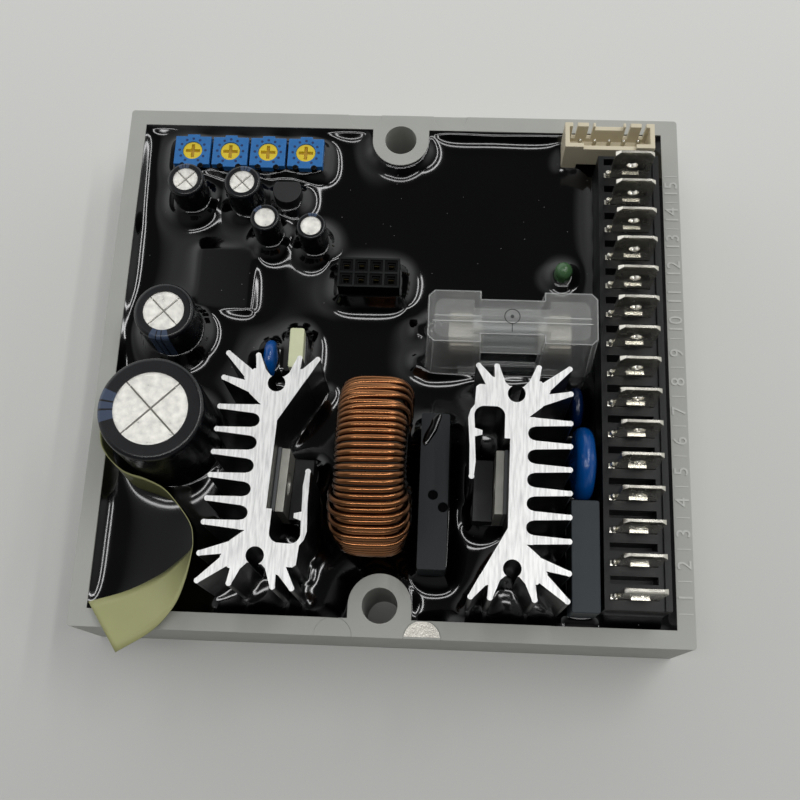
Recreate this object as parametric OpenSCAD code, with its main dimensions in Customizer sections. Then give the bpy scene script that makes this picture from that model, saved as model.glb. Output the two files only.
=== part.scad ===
// Potted automatic voltage regulator for a generator: an open plastic tray with a
// populated circuit board set in resin, two heat sinks, a toroidal choke, a row of
// tab terminals, trimmers and a fuse under a cover that pulls off.
// X runs along the tray's width, Y from the front edge to the back edge, Z up.
// The origin is the centre of the tray's base.

/* [Tray] */
// Outside width of the tray
tray_w = 98.5; // [96:0.5:112]
// Outside depth of the tray
tray_d = 92.8; // [91:0.1:104]
// Height of the tray from base to rim
tray_h = 18; // [14:0.5:24]
// Thickness of the tray's walls
wall_t = 2.9; // [2:0.1:3.4]
// Thickness of the tray's floor
floor_t = 2; // [1.5:0.1:4]
// Radius of the tray's upright corners
corner_r = 0.6; // [0.2:0.1:2]
// Distance of the fixing holes from the tray's outer faces
boss_inset = 5; // [4.7:0.1:6]
// Diameter of the fixing bosses
boss_d = 10.1; // [8.5:0.1:12]
// Diameter of the fixing holes
boss_hole_d = 5.6; // [4.5:0.1:6.5]
// Width of the ledges that carry the circuit board
ledge_w = 1.2; // [0.8:0.1:2]
// Diameter of the ejector marks on the rim
mark_d = 6; // [3:0.5:7]

/* [Board and resin] */
// Depth of the board's upper face below the rim
board_depth = 4; // [3:0.1:5]
// Thickness of the circuit board
board_t = 1.6; // [0.8:0.2:2.4]
// Depth of the resin's surface below the rim
resin_depth = 2; // [1:0.1:2.8]
// Gap between the board's edge and the tray
board_gap = 0.3; // [0.1:0.05:1]
// Clearance of the resin round each potted piece
pot_gap = 0.05; // [0.02:0.01:0.2]

/* [Terminal strip] */
// Number of tab terminals
tab_count = 15; // [3:1:17]
// Width of a tab
tab_w = 6.35; // [4.8:0.05:7]
// Thickness of a tab
tab_t = 0.8; // [0.5:0.1:1.2]
// Height of a tab above the strip
tab_h = 8; // [6:0.5:10]
// Diameter of the detent hole in a tab
tab_hole_d = 1.8; // [1:0.1:2.4]
// Width of the moulded strip
strip_w = 10.1; // [9.6:0.1:10.6]
// Height of the moulded strip
strip_h = 10.5; // [8:0.5:13]
// Width of the grooves between the tabs
groove_w = 1.2; // [0.6:0.1:1.8]
// Depth of the grooves between the tabs
groove_depth = 4; // [1:0.5:6]

/* [Pin header] */
// Number of header pins
pin_count = 5; // [2:1:5]
// Pitch of the header pins
pin_pitch = 2.5; // [2:0.1:2.54]
// Side of a header pin
pin_w = 0.64; // [0.5:0.02:0.8]
// Width of the header
header_w = 15.4; // [14.6:0.1:16]
// Depth of the header
header_d = 4.8; // [4.2:0.1:5.2]
// Height of the header
header_h = 10; // [8.5:0.1:12]
// Thickness of the header's walls
header_wall = 0.8; // [0.5:0.1:1.1]

/* [Socket strip] */
// Columns of sockets
socket_columns = 4; // [2:1:6]
// Pitch of the sockets
socket_pitch = 2.54; // [2:0.02:2.54]
// Height of the socket strip
socket_h = 8; // [5:0.5:9]
// Side of a socket hole
socket_hole = 0.9; // [0.7:0.05:1.2]

/* [Trimmers] */
// Side of a trimmer's body
trimmer_w = 6.3; // [5:0.1:6.5]
// Height of a trimmer's body
trimmer_h = 6; // [4.5:0.1:8]
// Pitch of the trimmers
trimmer_pitch = 6.74; // [6.7:0.02:7.2]
// Diameter of a trimmer's rotor
rotor_d = 3.4; // [2.6:0.1:4.2]
// Thickness of a rotor's head
rotor_t = 1.3; // [1:0.1:2]
// Width of a rotor's screwdriver slots
rotor_slot_w = 0.6; // [0.3:0.05:0.8]
// Radial clearance of a rotor
turn_gap = 0.05; // [0.02:0.01:0.1]

/* [Electrolytic capacitors] */
// Diameter of the main capacitor
main_cap_d = 16.4; // [12:0.1:17]
// Height of the main capacitor
main_cap_h = 20.5; // [12:0.5:30]
// Diameter of the supply capacitor
supply_cap_d = 10; // [8:0.1:11]
// Height of the supply capacitor
supply_cap_h = 12.5; // [9:0.5:20]
// Diameter of the two filter capacitors
filter_cap_d = 6.3; // [5:0.1:7]
// Height of the two filter capacitors
filter_cap_h = 11; // [7:0.5:14]
// Diameter of the two timing capacitors
timing_cap_d = 5; // [4:0.1:5.4]
// Height of the two timing capacitors
timing_cap_h = 11; // [7:0.5:14]
// Thickness of the shrunk sleeves
sleeve_t = 0.2; // [0.1:0.05:0.4]
// Clearance between a sleeve and its can
sleeve_gap = 0.02; // [0.01:0.01:0.1]

/* [Heat sinks] */
// Height of the heat sinks above the board
sink_h = 19; // [14:0.5:26]
// Pitch of the straight fins
fin_pitch = 3.58; // [3.3:0.02:3.7]
// Width of a fin at its tip
fin_tip_w = 0.85; // [0.6:0.05:1.2]
// Width of a fin at its root
fin_root_w = 1.5; // [1.2:0.05:1.9]
// Reach of the fins from the profile's axis
fin_reach = 8.6; // [7:0.1:8.8]
// Thickness of the web between fins and device
web_t = 2.65; // [2:0.05:3]
// Diameter of the screw channels
channel_d = 2.7; // [2:0.1:3.2]

/* [Power devices] */
// Width of a device
device_w = 10; // [9:0.1:10.4]
// Thickness of a device's moulded body
device_t = 3.2; // [2.6:0.1:3.4]
// Height of a device's moulded body
device_h = 7.7; // [6:0.1:10]
// Thickness of a device's metal tab
metal_t = 1.3; // [0.8:0.1:1.5]
// Height of a device's metal tab
metal_h = 14; // [11:0.1:16]
// Thickness of the insulating pads
pad_t = 0.5; // [0.2:0.05:0.6]
// Clearance of the spring clip at the device
clip_gap = 0.05; // [0.02:0.01:0.2]

/* [Choke] */
// Outside diameter over the winding
choke_d = 28.4; // [24:0.1:30]
// Width over the winding
choke_w = 11.5; // [9:0.1:12]
// Diameter of the winding wire
wire_d = 1; // [0.7:0.05:1.3]
// Diameter of the core's hole
core_hole_d = 15; // [12:0.1:16]
// Turns in the winding
turns = 80; // [30:1:86]

/* [Film and disc parts] */
// Width, depth and height of the tall film capacitor
tall_film = [4.5, 24.8, 11]; // [3:0.1:26]
// Width, depth and height of the film capacitor by the strip
side_film = [4.4, 17.3, 11]; // [3:0.1:18]
// Width, depth and height of the small film capacitor
small_film = [2.4, 7, 7]; // [2:0.1:8]
// Edge radius of the film capacitors
film_r = 0.4; // [0.1:0.05:0.8]
// Diameter of the varistor
varistor_d = 12; // [9:0.1:14]
// Thickness of the varistor
varistor_t = 4.4; // [3:0.1:4.6]
// Diameter of the left disc capacitor
left_disc_d = 6.5; // [4:0.1:8]
// Diameter of the right disc capacitor
right_disc_d = 7; // [4:0.1:8]
// Thickness of the disc capacitors
disc_t = 2.6; // [1.5:0.1:3]
// Diameter of the small transistor
transistor_d = 5; // [4:0.1:5.4]
// Height of the small transistor
transistor_h = 7; // [4.5:0.1:8]
// Diameter of the indicator lamp
lamp_d = 3; // [2:0.1:3.4]
// Height of the indicator lamp
lamp_h = 6.5; // [5:0.1:8]
// Width of the flat potted module
module_w = 10; // [6:0.1:10.4]
// Depth of the flat potted module, as a share of the room that it lies in
module_share = 0.442; // [0.2:0.01:0.5]
// Height of the flat potted module
module_h = 2.4; // [2.2:0.1:2.8]

/* [Fuse holder] */
// Diameter of the fuse's end caps
fuse_d = 5.2; // [4.6:0.1:5.4]
// Length of the fuse
fuse_l = 20; // [18:0.5:21]
// Length of each end cap
fuse_cap_l = 5.5; // [4:0.1:6]
// Thickness of the clip metal
clip_t = 0.4; // [0.2:0.05:0.5]
// Length of the fuse cover
cover_l = 27.6; // [27:0.1:28]
// Depth of the fuse cover
cover_d = 10.3; // [10:0.1:10.6]
// Height of the fuse cover
cover_h = 13.5; // [12:0.1:16]
// Length of each end block of the cover
cover_block_l = 9.2; // [8.6:0.1:9.6]
// Depth of the cover's bridge
bridge_d = 5.7; // [5:0.1:7]
// Thickness of the cover's walls
cover_t = 1; // [0.7:0.05:1.1]
// Height of the fuse holder's base
fuse_base_h = 3; // [2.6:0.1:4]

/* [Tape] */
// Width of the film strip
tape_w = 8.7; // [6:0.1:10]
// Thickness of the film strip
tape_t = 0.25; // [0.15:0.05:0.4]

/* [Hidden] */

$fn = 64;
// Overlap that lets a cut run clear of a face
cut = 1;
// Thickness of the thin plates that a drafted block is stretched between
skin = 0.01;

// Inner faces of the tray and the levels in it
left = -tray_w / 2 + wall_t;
right = tray_w / 2 - wall_t;
front = -tray_d / 2 + wall_t;
back = tray_d / 2 - wall_t;
board_z = tray_h - board_depth;
resin_z = tray_h - resin_depth;
boss_spacing = tray_d - 2 * boss_inset;
mark_depth = 0.15;
back_marks = [-6.6, 8.8];
front_marks = [-7.2, 6.8];

// Places on the board, each taken from the wall or piece that it lines up with. The strip fills
// the depth in front of the header, which sets the tabs' pitch
header_at = [right - 2.25 - header_w / 2, back - 1.4 - header_d / 2];
strip_end = 0.3;
strip_x1 = right - 2.05;
strip_x0 = strip_x1 - strip_w;
strip_y0 = front + 2;
strip_l = header_at[1] - header_d / 2 - 2 - strip_y0;
tab_pitch = (strip_l - 2 * strip_end) / tab_count;
tab_x = strip_x1 - 5.1;
first_tab_y = strip_y0 + 2;

// The row from the left wall to the strip is full, so its widths and places follow the tray's width
row_w = 80.55;
row_share = (strip_x0 - left) / row_w;
tall_film_fit = [tall_film[0] * row_share, tall_film[1], tall_film[2]];
side_film_fit = [side_film[0] * row_share, side_film[1], side_film[2]];
varistor_w = varistor_t * row_share;
main_cap_at = [left + 11.1 * row_share, front + 28.4];
sink_left_at = [left + 29.15 * row_share, front + 20.18];
choke_at = [left + 45.1 * row_share, front + 22];
tall_film_at = [left + 54.3 * row_share, front + 19.4];
sink_right_at = [left + 66.27 * row_share, front + 19.63];
sink_left_turn = -2.64;
sink_right_turn = 180 - 0.86;
side_film_at = [strip_x0 - 0.6 * row_share - side_film_fit[0] / 2, front + 1.3 + side_film[1] / 2];
varistor_at = [strip_x0 - 0.5 * row_share - varistor_w / 2, front + 25.2];
right_disc_at = [strip_x0 - 3.3 * row_share, front + 35.5];

// Behind the row
left_disc_at = [left + 26.15 * row_share, front + 42.5];
small_film_at = [left + 30.65 * row_share, front + 43.7];
socket_at = [left + 42.15 * row_share, front + 57.1];
fuse_at = [strip_x0 - 14.6, front + 46.35];
lamp_at = [strip_x0 - 5.3, front + 59.7];
supply_cap_at = [left + 9.25, front + 47.45];

// Along the back wall
trimmer_x = left + 9.45;
trimmer_y = back - 6.2;
filter_cap_at = [[left + 10.05, back - 14.65], [left + 19.85, back - 14.9]];
timing_cap_at = [[left + 24.25, back - 21.5], [left + 32.2, back - 22.85]];
transistor_at = [left + 27.05, back - 14.1];

// The flat module fills most of the room between the supply and the filter capacitors
module_room = filter_cap_at[0][1] - supply_cap_at[1];
module_d = module_share * module_room;
module_at = [left + 16.75, supply_cap_at[1] + 4.65 + module_d / 2];

// Narrows or widens a piece of the row with the tray
module in_row() scale([row_share, 1, 1]) children();

// Moves a piece to its place on the board's upper face
module on_board(place) translate([place[0], place[1], board_z]) children();

// Rectangle with round corners, centred
module rounded(w, d, r) {
    square([w - 2 * r, d], center = true);
    square([w, d - 2 * r], center = true);
    for (x = [-1, 1], y = [-1, 1])
        translate([x * (w / 2 - r), y * (d / 2 - r)]) circle(r);
}

// Outline of both bosses, each joined to its wall
module boss_outline(gap) {
    reach = tray_d / 2 - boss_spacing / 2;
    for (side = [-1, 1]) {
        translate([0, side * boss_spacing / 2]) circle(d = boss_d + 2 * gap);
        translate([0, side * (boss_spacing + reach) / 2])
            square([boss_d + 2 * gap, reach], center = true);
    }
}

module cavity_outline() translate([left, front]) square([right - left, back - front]);

module ledges() {
    for (x = [left, right - ledge_w])
        translate([x, front, 0]) cube([ledge_w, back - front, board_z - board_t]);
}

module tray() {
    color("#a0a19b") difference() {
        union() {
            difference() {
                linear_extrude(tray_h) rounded(tray_w, tray_d, corner_r);
                translate([0, 0, floor_t]) linear_extrude(tray_h) cavity_outline();
            }
            linear_extrude(tray_h) intersection() {
                boss_outline(0);
                rounded(tray_w, tray_d, corner_r);
            }
            ledges();
        }
        for (side = [-1, 1])
            translate([0, side * boss_spacing / 2, -cut])
                cylinder(d = boss_hole_d, h = tray_h + 2 * cut);
        translate([0, 0, tray_h - mark_depth]) {
            for (x = back_marks) translate([x, back + wall_t, 0]) cylinder(d = mark_d, h = cut);
            for (x = front_marks) translate([x, front - wall_t, 0]) cylinder(d = mark_d, h = cut);
        }
    }
}

module board_outline(gap) {
    edge = board_gap - gap;
    difference() {
        translate([left + edge, front + edge])
            square([right - left - 2 * edge, back - front - 2 * edge]);
        boss_outline(edge);
    }
}

module circuit_board() {
    color("#1d4a2c") translate([0, 0, board_z - board_t]) linear_extrude(board_t) board_outline(0);
}

// Everything that stands up through the resin, as plan outlines with a clearance
module potted_outlines(gap) {
    translate([strip_x0 - gap, strip_y0 - gap]) square([strip_w, strip_l] + [2 * gap, 2 * gap]);
    for (side = [-1, 1])
        translate(header_at + [side * (header_w - header_leg_w) / 2, 0])
            square([header_leg_w, header_d] + [2 * gap, 2 * gap], center = true);
    for (i = [0:pin_count - 1])
        translate(header_at + [pin_x(i), pin_y]) square(pin_w + 2 * gap, center = true);
    translate(socket_at) square(socket_plan + [2 * gap, 2 * gap], center = true);
    for (i = [1:4]) translate(trimmer_at(i)) trimmer_outline(gap);
    for (cap = CAPS) translate(cap[0]) circle(cap[1] + gap);
    translate(transistor_at) transistor_outline(gap);
    translate(module_at) square([module_w + 2 * gap, module_d + 2 * gap], center = true);
    translate(small_film_at) film_outline(small_film, gap);
    translate(tall_film_at) film_outline(tall_film_fit, gap);
    translate(side_film_at) film_outline(side_film_fit, gap);
    translate(lamp_at) circle(d = lamp_flange_d + 2 * gap);
    translate(fuse_at) fuse_base_outline(gap);
}

module potting_resin() {
    color("#101011") difference() {
        translate([0, 0, floor_t]) linear_extrude(resin_z - floor_t) difference() {
            cavity_outline();
            boss_outline(pot_gap);
        }
        ledges();
        translate([0, 0, board_z - board_t - pot_gap])
            linear_extrude(board_t + 2 * pot_gap) board_outline(pot_gap);
        translate([0, 0, board_z]) linear_extrude(resin_depth + board_depth) potted_outlines(pot_gap);
        place_sink(sink_left_at, sink_left_turn) potted_sink(pot_gap);
        place_sink(sink_right_at, sink_right_turn) potted_sink(pot_gap);
        on_board(choke_at) in_row() choke_envelope(pot_gap);
        on_board(varistor_at) disc(varistor_d + 2 * pot_gap, varistor_w + 2 * pot_gap, varistor_z);
        on_board(left_disc_at) disc(left_disc_d + 2 * pot_gap, disc_t + 2 * pot_gap, left_disc_z);
        on_board(right_disc_at) disc(right_disc_d + 2 * pot_gap, disc_t + 2 * pot_gap, right_disc_z);
    }
}

// Terminal strip and its tabs
tab_fit = 0.05;
tab_foot_w = tab_w + 0.9;
tab_foot_x = -0.45;
lip_w = 1;
lip_h = 0.5;
dome_x = -3.5;
dome_d = 1;
function tab_y(k) = first_tab_y + tab_pitch * k;

module tab_foot(gap) {
    translate([tab_foot_x, 0]) square([tab_foot_w + 2 * gap, tab_t + 2 * gap], center = true);
}

module terminal_strip() {
    color("#1b1c1d") difference() {
        translate([strip_x0, strip_y0, board_z]) {
            cube([strip_w, strip_l, strip_h]);
            translate([strip_w - lip_w, 0, 0]) cube([lip_w, strip_l, strip_h + lip_h]);
        }
        for (k = [0:tab_count - 1]) {
            on_board([tab_x, tab_y(k)]) translate([0, 0, -cut])
                linear_extrude(strip_h + 2 * cut) tab_foot(tab_fit);
            translate([tab_x + tab_foot_x, tab_y(k) + tab_pitch / 2, board_z + strip_h])
                cube([tab_foot_w, groove_w, 2 * groove_depth], center = true);
        }
    }
}

// Blade with a coined tip and a detent hole, standing on the foot that the strip holds
module tab_blade() {
    tip = 0.8;
    coin_t = tab_t / 2;
    intersection() {
        rotate([90, 0, 0]) linear_extrude(2 * tab_t, center = true) difference() {
            polygon([[-tab_w / 2, 0], [tab_w / 2, 0], [tab_w / 2, tab_h - tip], [tab_w / 2 - tip, tab_h],
                     [tip - tab_w / 2, tab_h], [-tab_w / 2, tab_h - tip]]);
            translate([0, tab_h * 0.54]) circle(d = tab_hole_d);
        }
        rotate([90, 0, 90]) linear_extrude(2 * tab_w, center = true)
            polygon([[-tab_t / 2, -cut], [tab_t / 2, -cut], [tab_t / 2, tab_h - tip],
                     [coin_t / 2, tab_h + skin], [-coin_t / 2, tab_h + skin], [-tab_t / 2, tab_h - tip]]);
    }
}

module tab_terminals() {
    color("#d2d0c8") for (k = [0:tab_count - 1]) on_board([tab_x, tab_y(k)]) {
        linear_extrude(strip_h) tab_foot(0);
        translate([0, 0, strip_h]) tab_blade();
        translate([dome_x, 0, strip_h - tab_t]) cylinder(d = tab_t, h = tab_t + dome_d / 2);
    }
}

// Shrouded pin header on two end legs
header_leg_w = 2.6;
header_arch_h = 4;
header_floor_t = 1;
header_front_drop = 0.8;
header_back_drop = 1.2;
header_front_w = 9;
header_back_w = 4.8;
header_slot_w = 0.8;
header_slot_h = 4;
header_slot_x = [header_w / 2 - 1.8, header_back_w / 2 + 0.8];
pin_fit = 0.05;
pin_h = header_h - 1;
pin_y = -0.4;
function pin_x(i) = (i - (pin_count - 1) / 2) * pin_pitch;

module header_shell() {
    inner_w = header_w - 2 * header_wall;
    inner_d = header_d - 2 * header_wall;
    deck_z = header_arch_h + header_floor_t;
    arch_w = header_w - 2 * header_leg_w;
    color("#c8bea5") on_board(header_at) difference() {
        linear_extrude(header_h) square([header_w, header_d], center = true);
        translate([0, 0, deck_z]) linear_extrude(header_h) square([inner_w, inner_d], center = true);
        translate([0, 0, -cut]) linear_extrude(header_arch_h + cut)
            square([arch_w, header_d + cut], center = true);
        translate([-header_front_w / 2, -header_d / 2 - cut, header_h - header_front_drop])
            cube([header_front_w, header_wall + 1.5 * cut, header_h]);
        translate([-header_back_w / 2, header_d / 2 - header_wall - cut / 2, header_h - header_back_drop])
            cube([header_back_w, header_wall + 1.5 * cut, header_h]);
        for (side = [-1, 1], x = header_slot_x)
            translate([side * x - header_slot_w / 2, header_d / 2 - header_wall - cut / 2,
                       header_h - header_slot_h])
                cube([header_slot_w, header_wall + 1.5 * cut, header_h]);
        for (i = [0:pin_count - 1])
            translate([pin_x(i), pin_y, 0]) linear_extrude(header_h)
                square(pin_w + 2 * pin_fit, center = true);
    }
}

module header_pins() {
    color("#d9c58a") on_board(header_at) for (i = [0:pin_count - 1])
        translate([pin_x(i), pin_y, 0]) {
            linear_extrude(pin_h - pin_w / 2) square(pin_w, center = true);
            translate([0, 0, pin_h - pin_w / 2]) rotate(45)
                cylinder(d1 = pin_w * sqrt(2), d2 = pin_w * 0.6, h = pin_w / 2, $fn = 4);
        }
}

// Two-row socket strip
socket_rows = 2;
socket_wall = 0.13;
socket_plan = [socket_columns, socket_rows] * socket_pitch + [2 * socket_wall, 2 * socket_wall];
socket_mouth = socket_hole + 0.5;
socket_mouth_depth = 0.5;
contact_t = 0.15;

module each_socket() {
    for (column = [0:socket_columns - 1], row = [0:socket_rows - 1])
        translate([(column - (socket_columns - 1) / 2) * socket_pitch,
                   (row - (socket_rows - 1) / 2) * socket_pitch, 0]) children();
}

module socket_strip() {
    color("#202122") on_board(socket_at) difference() {
        linear_extrude(socket_h) square(socket_plan, center = true);
        each_socket() {
            translate([0, 0, -cut]) linear_extrude(socket_h + 2 * cut) square(socket_hole, center = true);
            translate([0, 0, socket_h - socket_mouth_depth])
                linear_extrude(cut) square(socket_mouth, center = true);
        }
    }
}

module socket_contacts() {
    color("#b9a15c") on_board(socket_at) each_socket() linear_extrude(socket_h - 2 * socket_mouth_depth)
        for (side = [-1, 1]) translate([0, side * (socket_hole - contact_t) / 2])
            square([socket_hole, contact_t], center = true);
}

// Trimmers: square bodies with a moulded tongue on two edges, and a slotted rotor
tongue = [2.2, 0.4];
rotor_sink = 0.2;
rotor_lift = 0.05;
shaft_d = 1.6;
shaft_l = 1.5;
slot_depth = 0.6;
slot_share = 0.76;
function trimmer_at(i) = [trimmer_x + (i - 1) * trimmer_pitch, trimmer_y];

module trimmer_outline(gap) {
    square(trimmer_w - 2 * tongue[1] + 2 * gap, center = true);
    square([trimmer_w + 2 * gap, trimmer_w - 2 * tongue[1] + 2 * gap], center = true);
    square([tongue[0] + 2 * gap, trimmer_w + 2 * gap], center = true);
}

module trimmer_body(i) {
    recess = rotor_t + rotor_sink + rotor_lift;
    color("#2d69af") on_board(trimmer_at(i)) difference() {
        linear_extrude(trimmer_h) trimmer_outline(0);
        translate([0, 0, trimmer_h - recess]) cylinder(d = rotor_d + 2 * turn_gap, h = recess + cut);
        translate([0, 0, trimmer_h - recess - shaft_l])
            cylinder(d = shaft_d + 2 * turn_gap, h = shaft_l + cut);
    }
}

module trimmer_rotor(i) {
    floor_z = trimmer_h - rotor_sink - rotor_t;
    color("#c8b432") on_board(trimmer_at(i)) translate([0, 0, floor_z]) difference() {
        union() {
            cylinder(d = rotor_d, h = rotor_t);
            translate([0, 0, rotor_lift - shaft_l]) cylinder(d = shaft_d, h = shaft_l);
        }
        for (turn = [0, 90]) rotate(turn)
            translate([0, 0, rotor_t])
                cube([rotor_d * slot_share, rotor_slot_w, 2 * slot_depth], center = true);
    }
}

// Electrolytic capacitors: place, radius, height, radius of the bare top
CAPS = [[main_cap_at, main_cap_d / 2, main_cap_h, main_cap_d * 0.351],
        [supply_cap_at, supply_cap_d / 2, supply_cap_h, supply_cap_d * 0.338],
        [filter_cap_at[0], filter_cap_d / 2, filter_cap_h, filter_cap_d * 0.335],
        [filter_cap_at[1], filter_cap_d / 2, filter_cap_h, filter_cap_d * 0.335],
        [timing_cap_at[0], timing_cap_d / 2, timing_cap_h, timing_cap_d * 0.35],
        [timing_cap_at[1], timing_cap_d / 2, timing_cap_h, timing_cap_d * 0.35]];
score_w = 0.3;
score_depth = 0.2;
score_least_r = 3;
can_edge_r = 0.75;

// Half section of a can with a round shoulder and a rolled groove above its foot
module can_section(r, h) {
    shoulder = min(r / 6, can_edge_r);
    groove_r = r / 16;
    difference() {
        union() {
            square([r - shoulder, h]);
            square([r, h - shoulder]);
            translate([r - shoulder, h - shoulder]) circle(shoulder);
        }
        translate([r + groove_r / 2, r / 3]) circle(groove_r);
    }
}

module capacitor_can(cap) {
    fit = sleeve_t + sleeve_gap;
    r = cap[1] - fit;
    h = cap[2] - fit;
    color("#e1dfd7") on_board(cap[0]) difference() {
        rotate_extrude() can_section(r, h);
        if (cap[1] > score_least_r) for (turn = [45, -45]) rotate(turn)
            translate([0, 0, h]) cube([cap[3] * 1.7, score_w, 2 * score_depth], center = true);
    }
}

module capacitor_sleeve(cap) {
    r = cap[1];
    h = cap[2];
    color("#17191d") on_board(cap[0]) rotate_extrude() difference() {
        can_section(r, h);
        can_section(r - sleeve_t, h - sleeve_t);
        square([cap[3], h + cut]);
    }
}

// Extruded heat sink, seen from above: the fins point to -X, the device sits on the
// web's +X face, and a star of arms with a screw channel closes each end
web_x1 = 0.8;
web_x0 = web_x1 - web_t;
fins_each_side = 3;
channel_y = (fins_each_side - 0.5) * fin_pitch + 4.35;
slot_r = (fin_pitch - fin_root_w) / 2;
arm_tip_y = channel_y + 4.3;
device_x = web_x1 + pad_t + metal_t + device_t;
device_y = -0.6;
clip_x = device_x + clip_gap;
clip_w = 0.84;
pocket_x0 = web_x1 + 0.85;
pocket_y = 2.15 - channel_y;
pocket_r = 1.5;
seat_y = -6.2;

// A tapered arm from one point to another with a slightly beaded round tip
bead = 0.9;
module arm(from, to, w_root, w_tip) {
    along = (to - from) / norm(to - from);
    across = [-along[1], along[0]];
    neck = bead * w_tip;
    polygon([from + across * w_root / 2, to + across * neck / 2,
             to - across * neck / 2, from - across * w_root / 2]);
    translate(to) circle(d = w_tip);
}

// Extrudes each of its outlines by itself, so that they join as solids
module plates(h) {
    for (i = [0:$children - 1]) linear_extrude(h) children(i);
}

module fin_row(h) {
    row_l = (2 * fins_each_side - 1) * fin_pitch + fin_root_w;
    for (i = [0.5 - fins_each_side:fins_each_side - 0.5]) plates(h)
        arm([web_x0, i * fin_pitch], [fin_tip_w / 2 - fin_reach, i * fin_pitch], fin_root_w, fin_tip_w);
    linear_extrude(h) difference() {
        translate([web_x0 - slot_r, -row_l / 2]) square([slot_r + web_t / 2, row_l]);
        for (i = [1 - fins_each_side:fins_each_side - 1])
            translate([web_x0 - slot_r, i * fin_pitch]) circle(slot_r);
    }
}

// One end of the profile with its five arms, its points taken from the screw channel
module star_end(h) {
    tip_y = arm_tip_y - channel_y;
    reach = fin_reach - fin_tip_w / 2;
    translate([0, channel_y, 0]) plates(h) {
        polygon([[web_x0, -3.7], [web_x1, -5.9], [4.64, 1.2], [3.77, 2.6], [2.15, 2.1], [1, 1.1], [-1, 1.1],
                 [-2.1, 2.3], [-3.72, 2.1], [-5.1, 0.55], [-3.95, -1.95], [-2.35, -3.3]]);
        arm([3.9, 1.5], [5.9, tip_y], 1.7, fin_tip_w);
        arm([2.5, 1.4], [3.1, tip_y], 1.7, fin_tip_w);
        arm([-2.4, 1.1], [-3.3, tip_y], 1.7, fin_tip_w);
        arm([-4.3, 1.1], [0.2 - reach, tip_y], 1.7, fin_tip_w);
        arm([-3.6, -1], [-reach, 0.3], 1.8, fin_tip_w);
    }
}

// Foot of the spring clip, under the pocket that lets its arm bend
module clip_foot(h) {
    x1 = clip_x + 0.45;
    root = web_x1 - web_t / 2;
    plates(h) {
        translate([root, pocket_y]) square([pocket_x0 - root, seat_y - pocket_y]);
        polygon([[root, pocket_y], [x1, pocket_y], [clip_x + 0.3, pocket_y - 3.05],
                 [clip_x - 0.2, pocket_y - 3.45], [root, pocket_y - 3.3]]);
        difference() {
            translate([x1 - pocket_r, pocket_y]) square(pocket_r);
            translate([x1 - pocket_r, pocket_y + pocket_r]) circle(pocket_r);
        }
    }
}

// Spring arm that presses the device to the web, with a tooth below its contact
module clip_arm(h) {
    x1 = clip_x + 0.45;
    end_x = clip_x + 0.12;
    end_y = -0.15;
    plates(h) {
        polygon([[x1 - 0.2, pocket_y - 0.45], [x1 + 0.6, pocket_y + 0.7], [x1 + 0.9, pocket_y + 1.95],
                 [clip_x + 1, pocket_y + 6.15],
                 [end_x + bead * clip_w, end_y], [end_x + (1 - bead) * clip_w, end_y], [clip_x, -2.4],
                 [clip_x + 0.25, seat_y],
                 [clip_x + 0.3, seat_y - 1.5], [x1, pocket_y + pocket_r], [x1, pocket_y]]);
        translate([end_x + clip_w / 2, end_y]) circle(d = clip_w);
        polygon([[clip_x + 0.5, seat_y], [clip_x - 0.85, seat_y - 0.4], [clip_x - 0.85, seat_y - 1.1],
                 [clip_x + 0.5, seat_y - 1.5]]);
    }
}

module sink_body(h) {
    difference() {
        union() {
            translate([web_x0, -channel_y + 3, 0]) cube([web_t, 2 * channel_y - 6, h]);
            fin_row(h);
            star_end(h);
            mirror([0, 1, 0]) star_end(h);
            clip_foot(h);
        }
        for (side = [-1, 1]) translate([0, side * channel_y, -cut]) cylinder(d = channel_d, h = h + 2 * cut);
        translate([pocket_x0 + pocket_r, pocket_y + pocket_r, -cut]) cylinder(r = pocket_r, h = h + 2 * cut);
        translate([pocket_x0, pocket_y + pocket_r, -cut]) cube([pocket_r, pocket_r, h + 2 * cut]);
    }
    clip_arm(h);
}

module device_outline(x0, x1) {
    translate([x0, device_y - device_w / 2]) square([x1 - x0, device_w]);
}

module potted_sink(gap) {
    sink_body(tray_h);
    translate([0, device_y - device_w / 2 - gap, 0]) cube([clip_x + gap, device_w + 2 * gap, tray_h]);
}

module place_sink(place, turn) on_board(place) rotate(turn) in_row() children();

module heat_sink(place, turn) {
    color("#b9bab8") place_sink(place, turn) sink_body(sink_h);
}

module insulating_pad(place, turn) {
    color("#8f9296") place_sink(place, turn)
        linear_extrude(metal_h + 0.5) device_outline(web_x1, web_x1 + pad_t);
}

module device_tab(place, turn) {
    hole_d = 3.6;
    hole_drop = 2.8;
    color("#a9aaac") place_sink(place, turn) difference() {
        linear_extrude(metal_h) device_outline(web_x1 + pad_t, web_x1 + pad_t + metal_t);
        translate([web_x1, device_y, metal_h - hole_drop]) rotate([0, 90, 0])
            cylinder(d = hole_d, h = pad_t + metal_t + cut);
    }
}

module power_device(place, turn) {
    color("#1c1c1e") place_sink(place, turn)
        linear_extrude(device_h) device_outline(web_x1 + pad_t + metal_t, device_x);
}

// Toroidal choke on edge, its axis along X: a ring core inside one layer of ridged turns
choke_lift = 0.5;
choke_z = choke_d / 2 + choke_lift;
ridge = 0.3;
wound_hole_d = core_hole_d - 4 * wire_d;
core_w = choke_w - 2 * wire_d - 2 * ridge;
core_d = choke_d - 2 * wire_d - 2 * ridge;
core_r = 1.2;
ring_steps = 2 * turns;
section_steps = 12;
squareness = 0.5;
function signed_power(v) = sign(v) * pow(abs(v), squareness);
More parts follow.
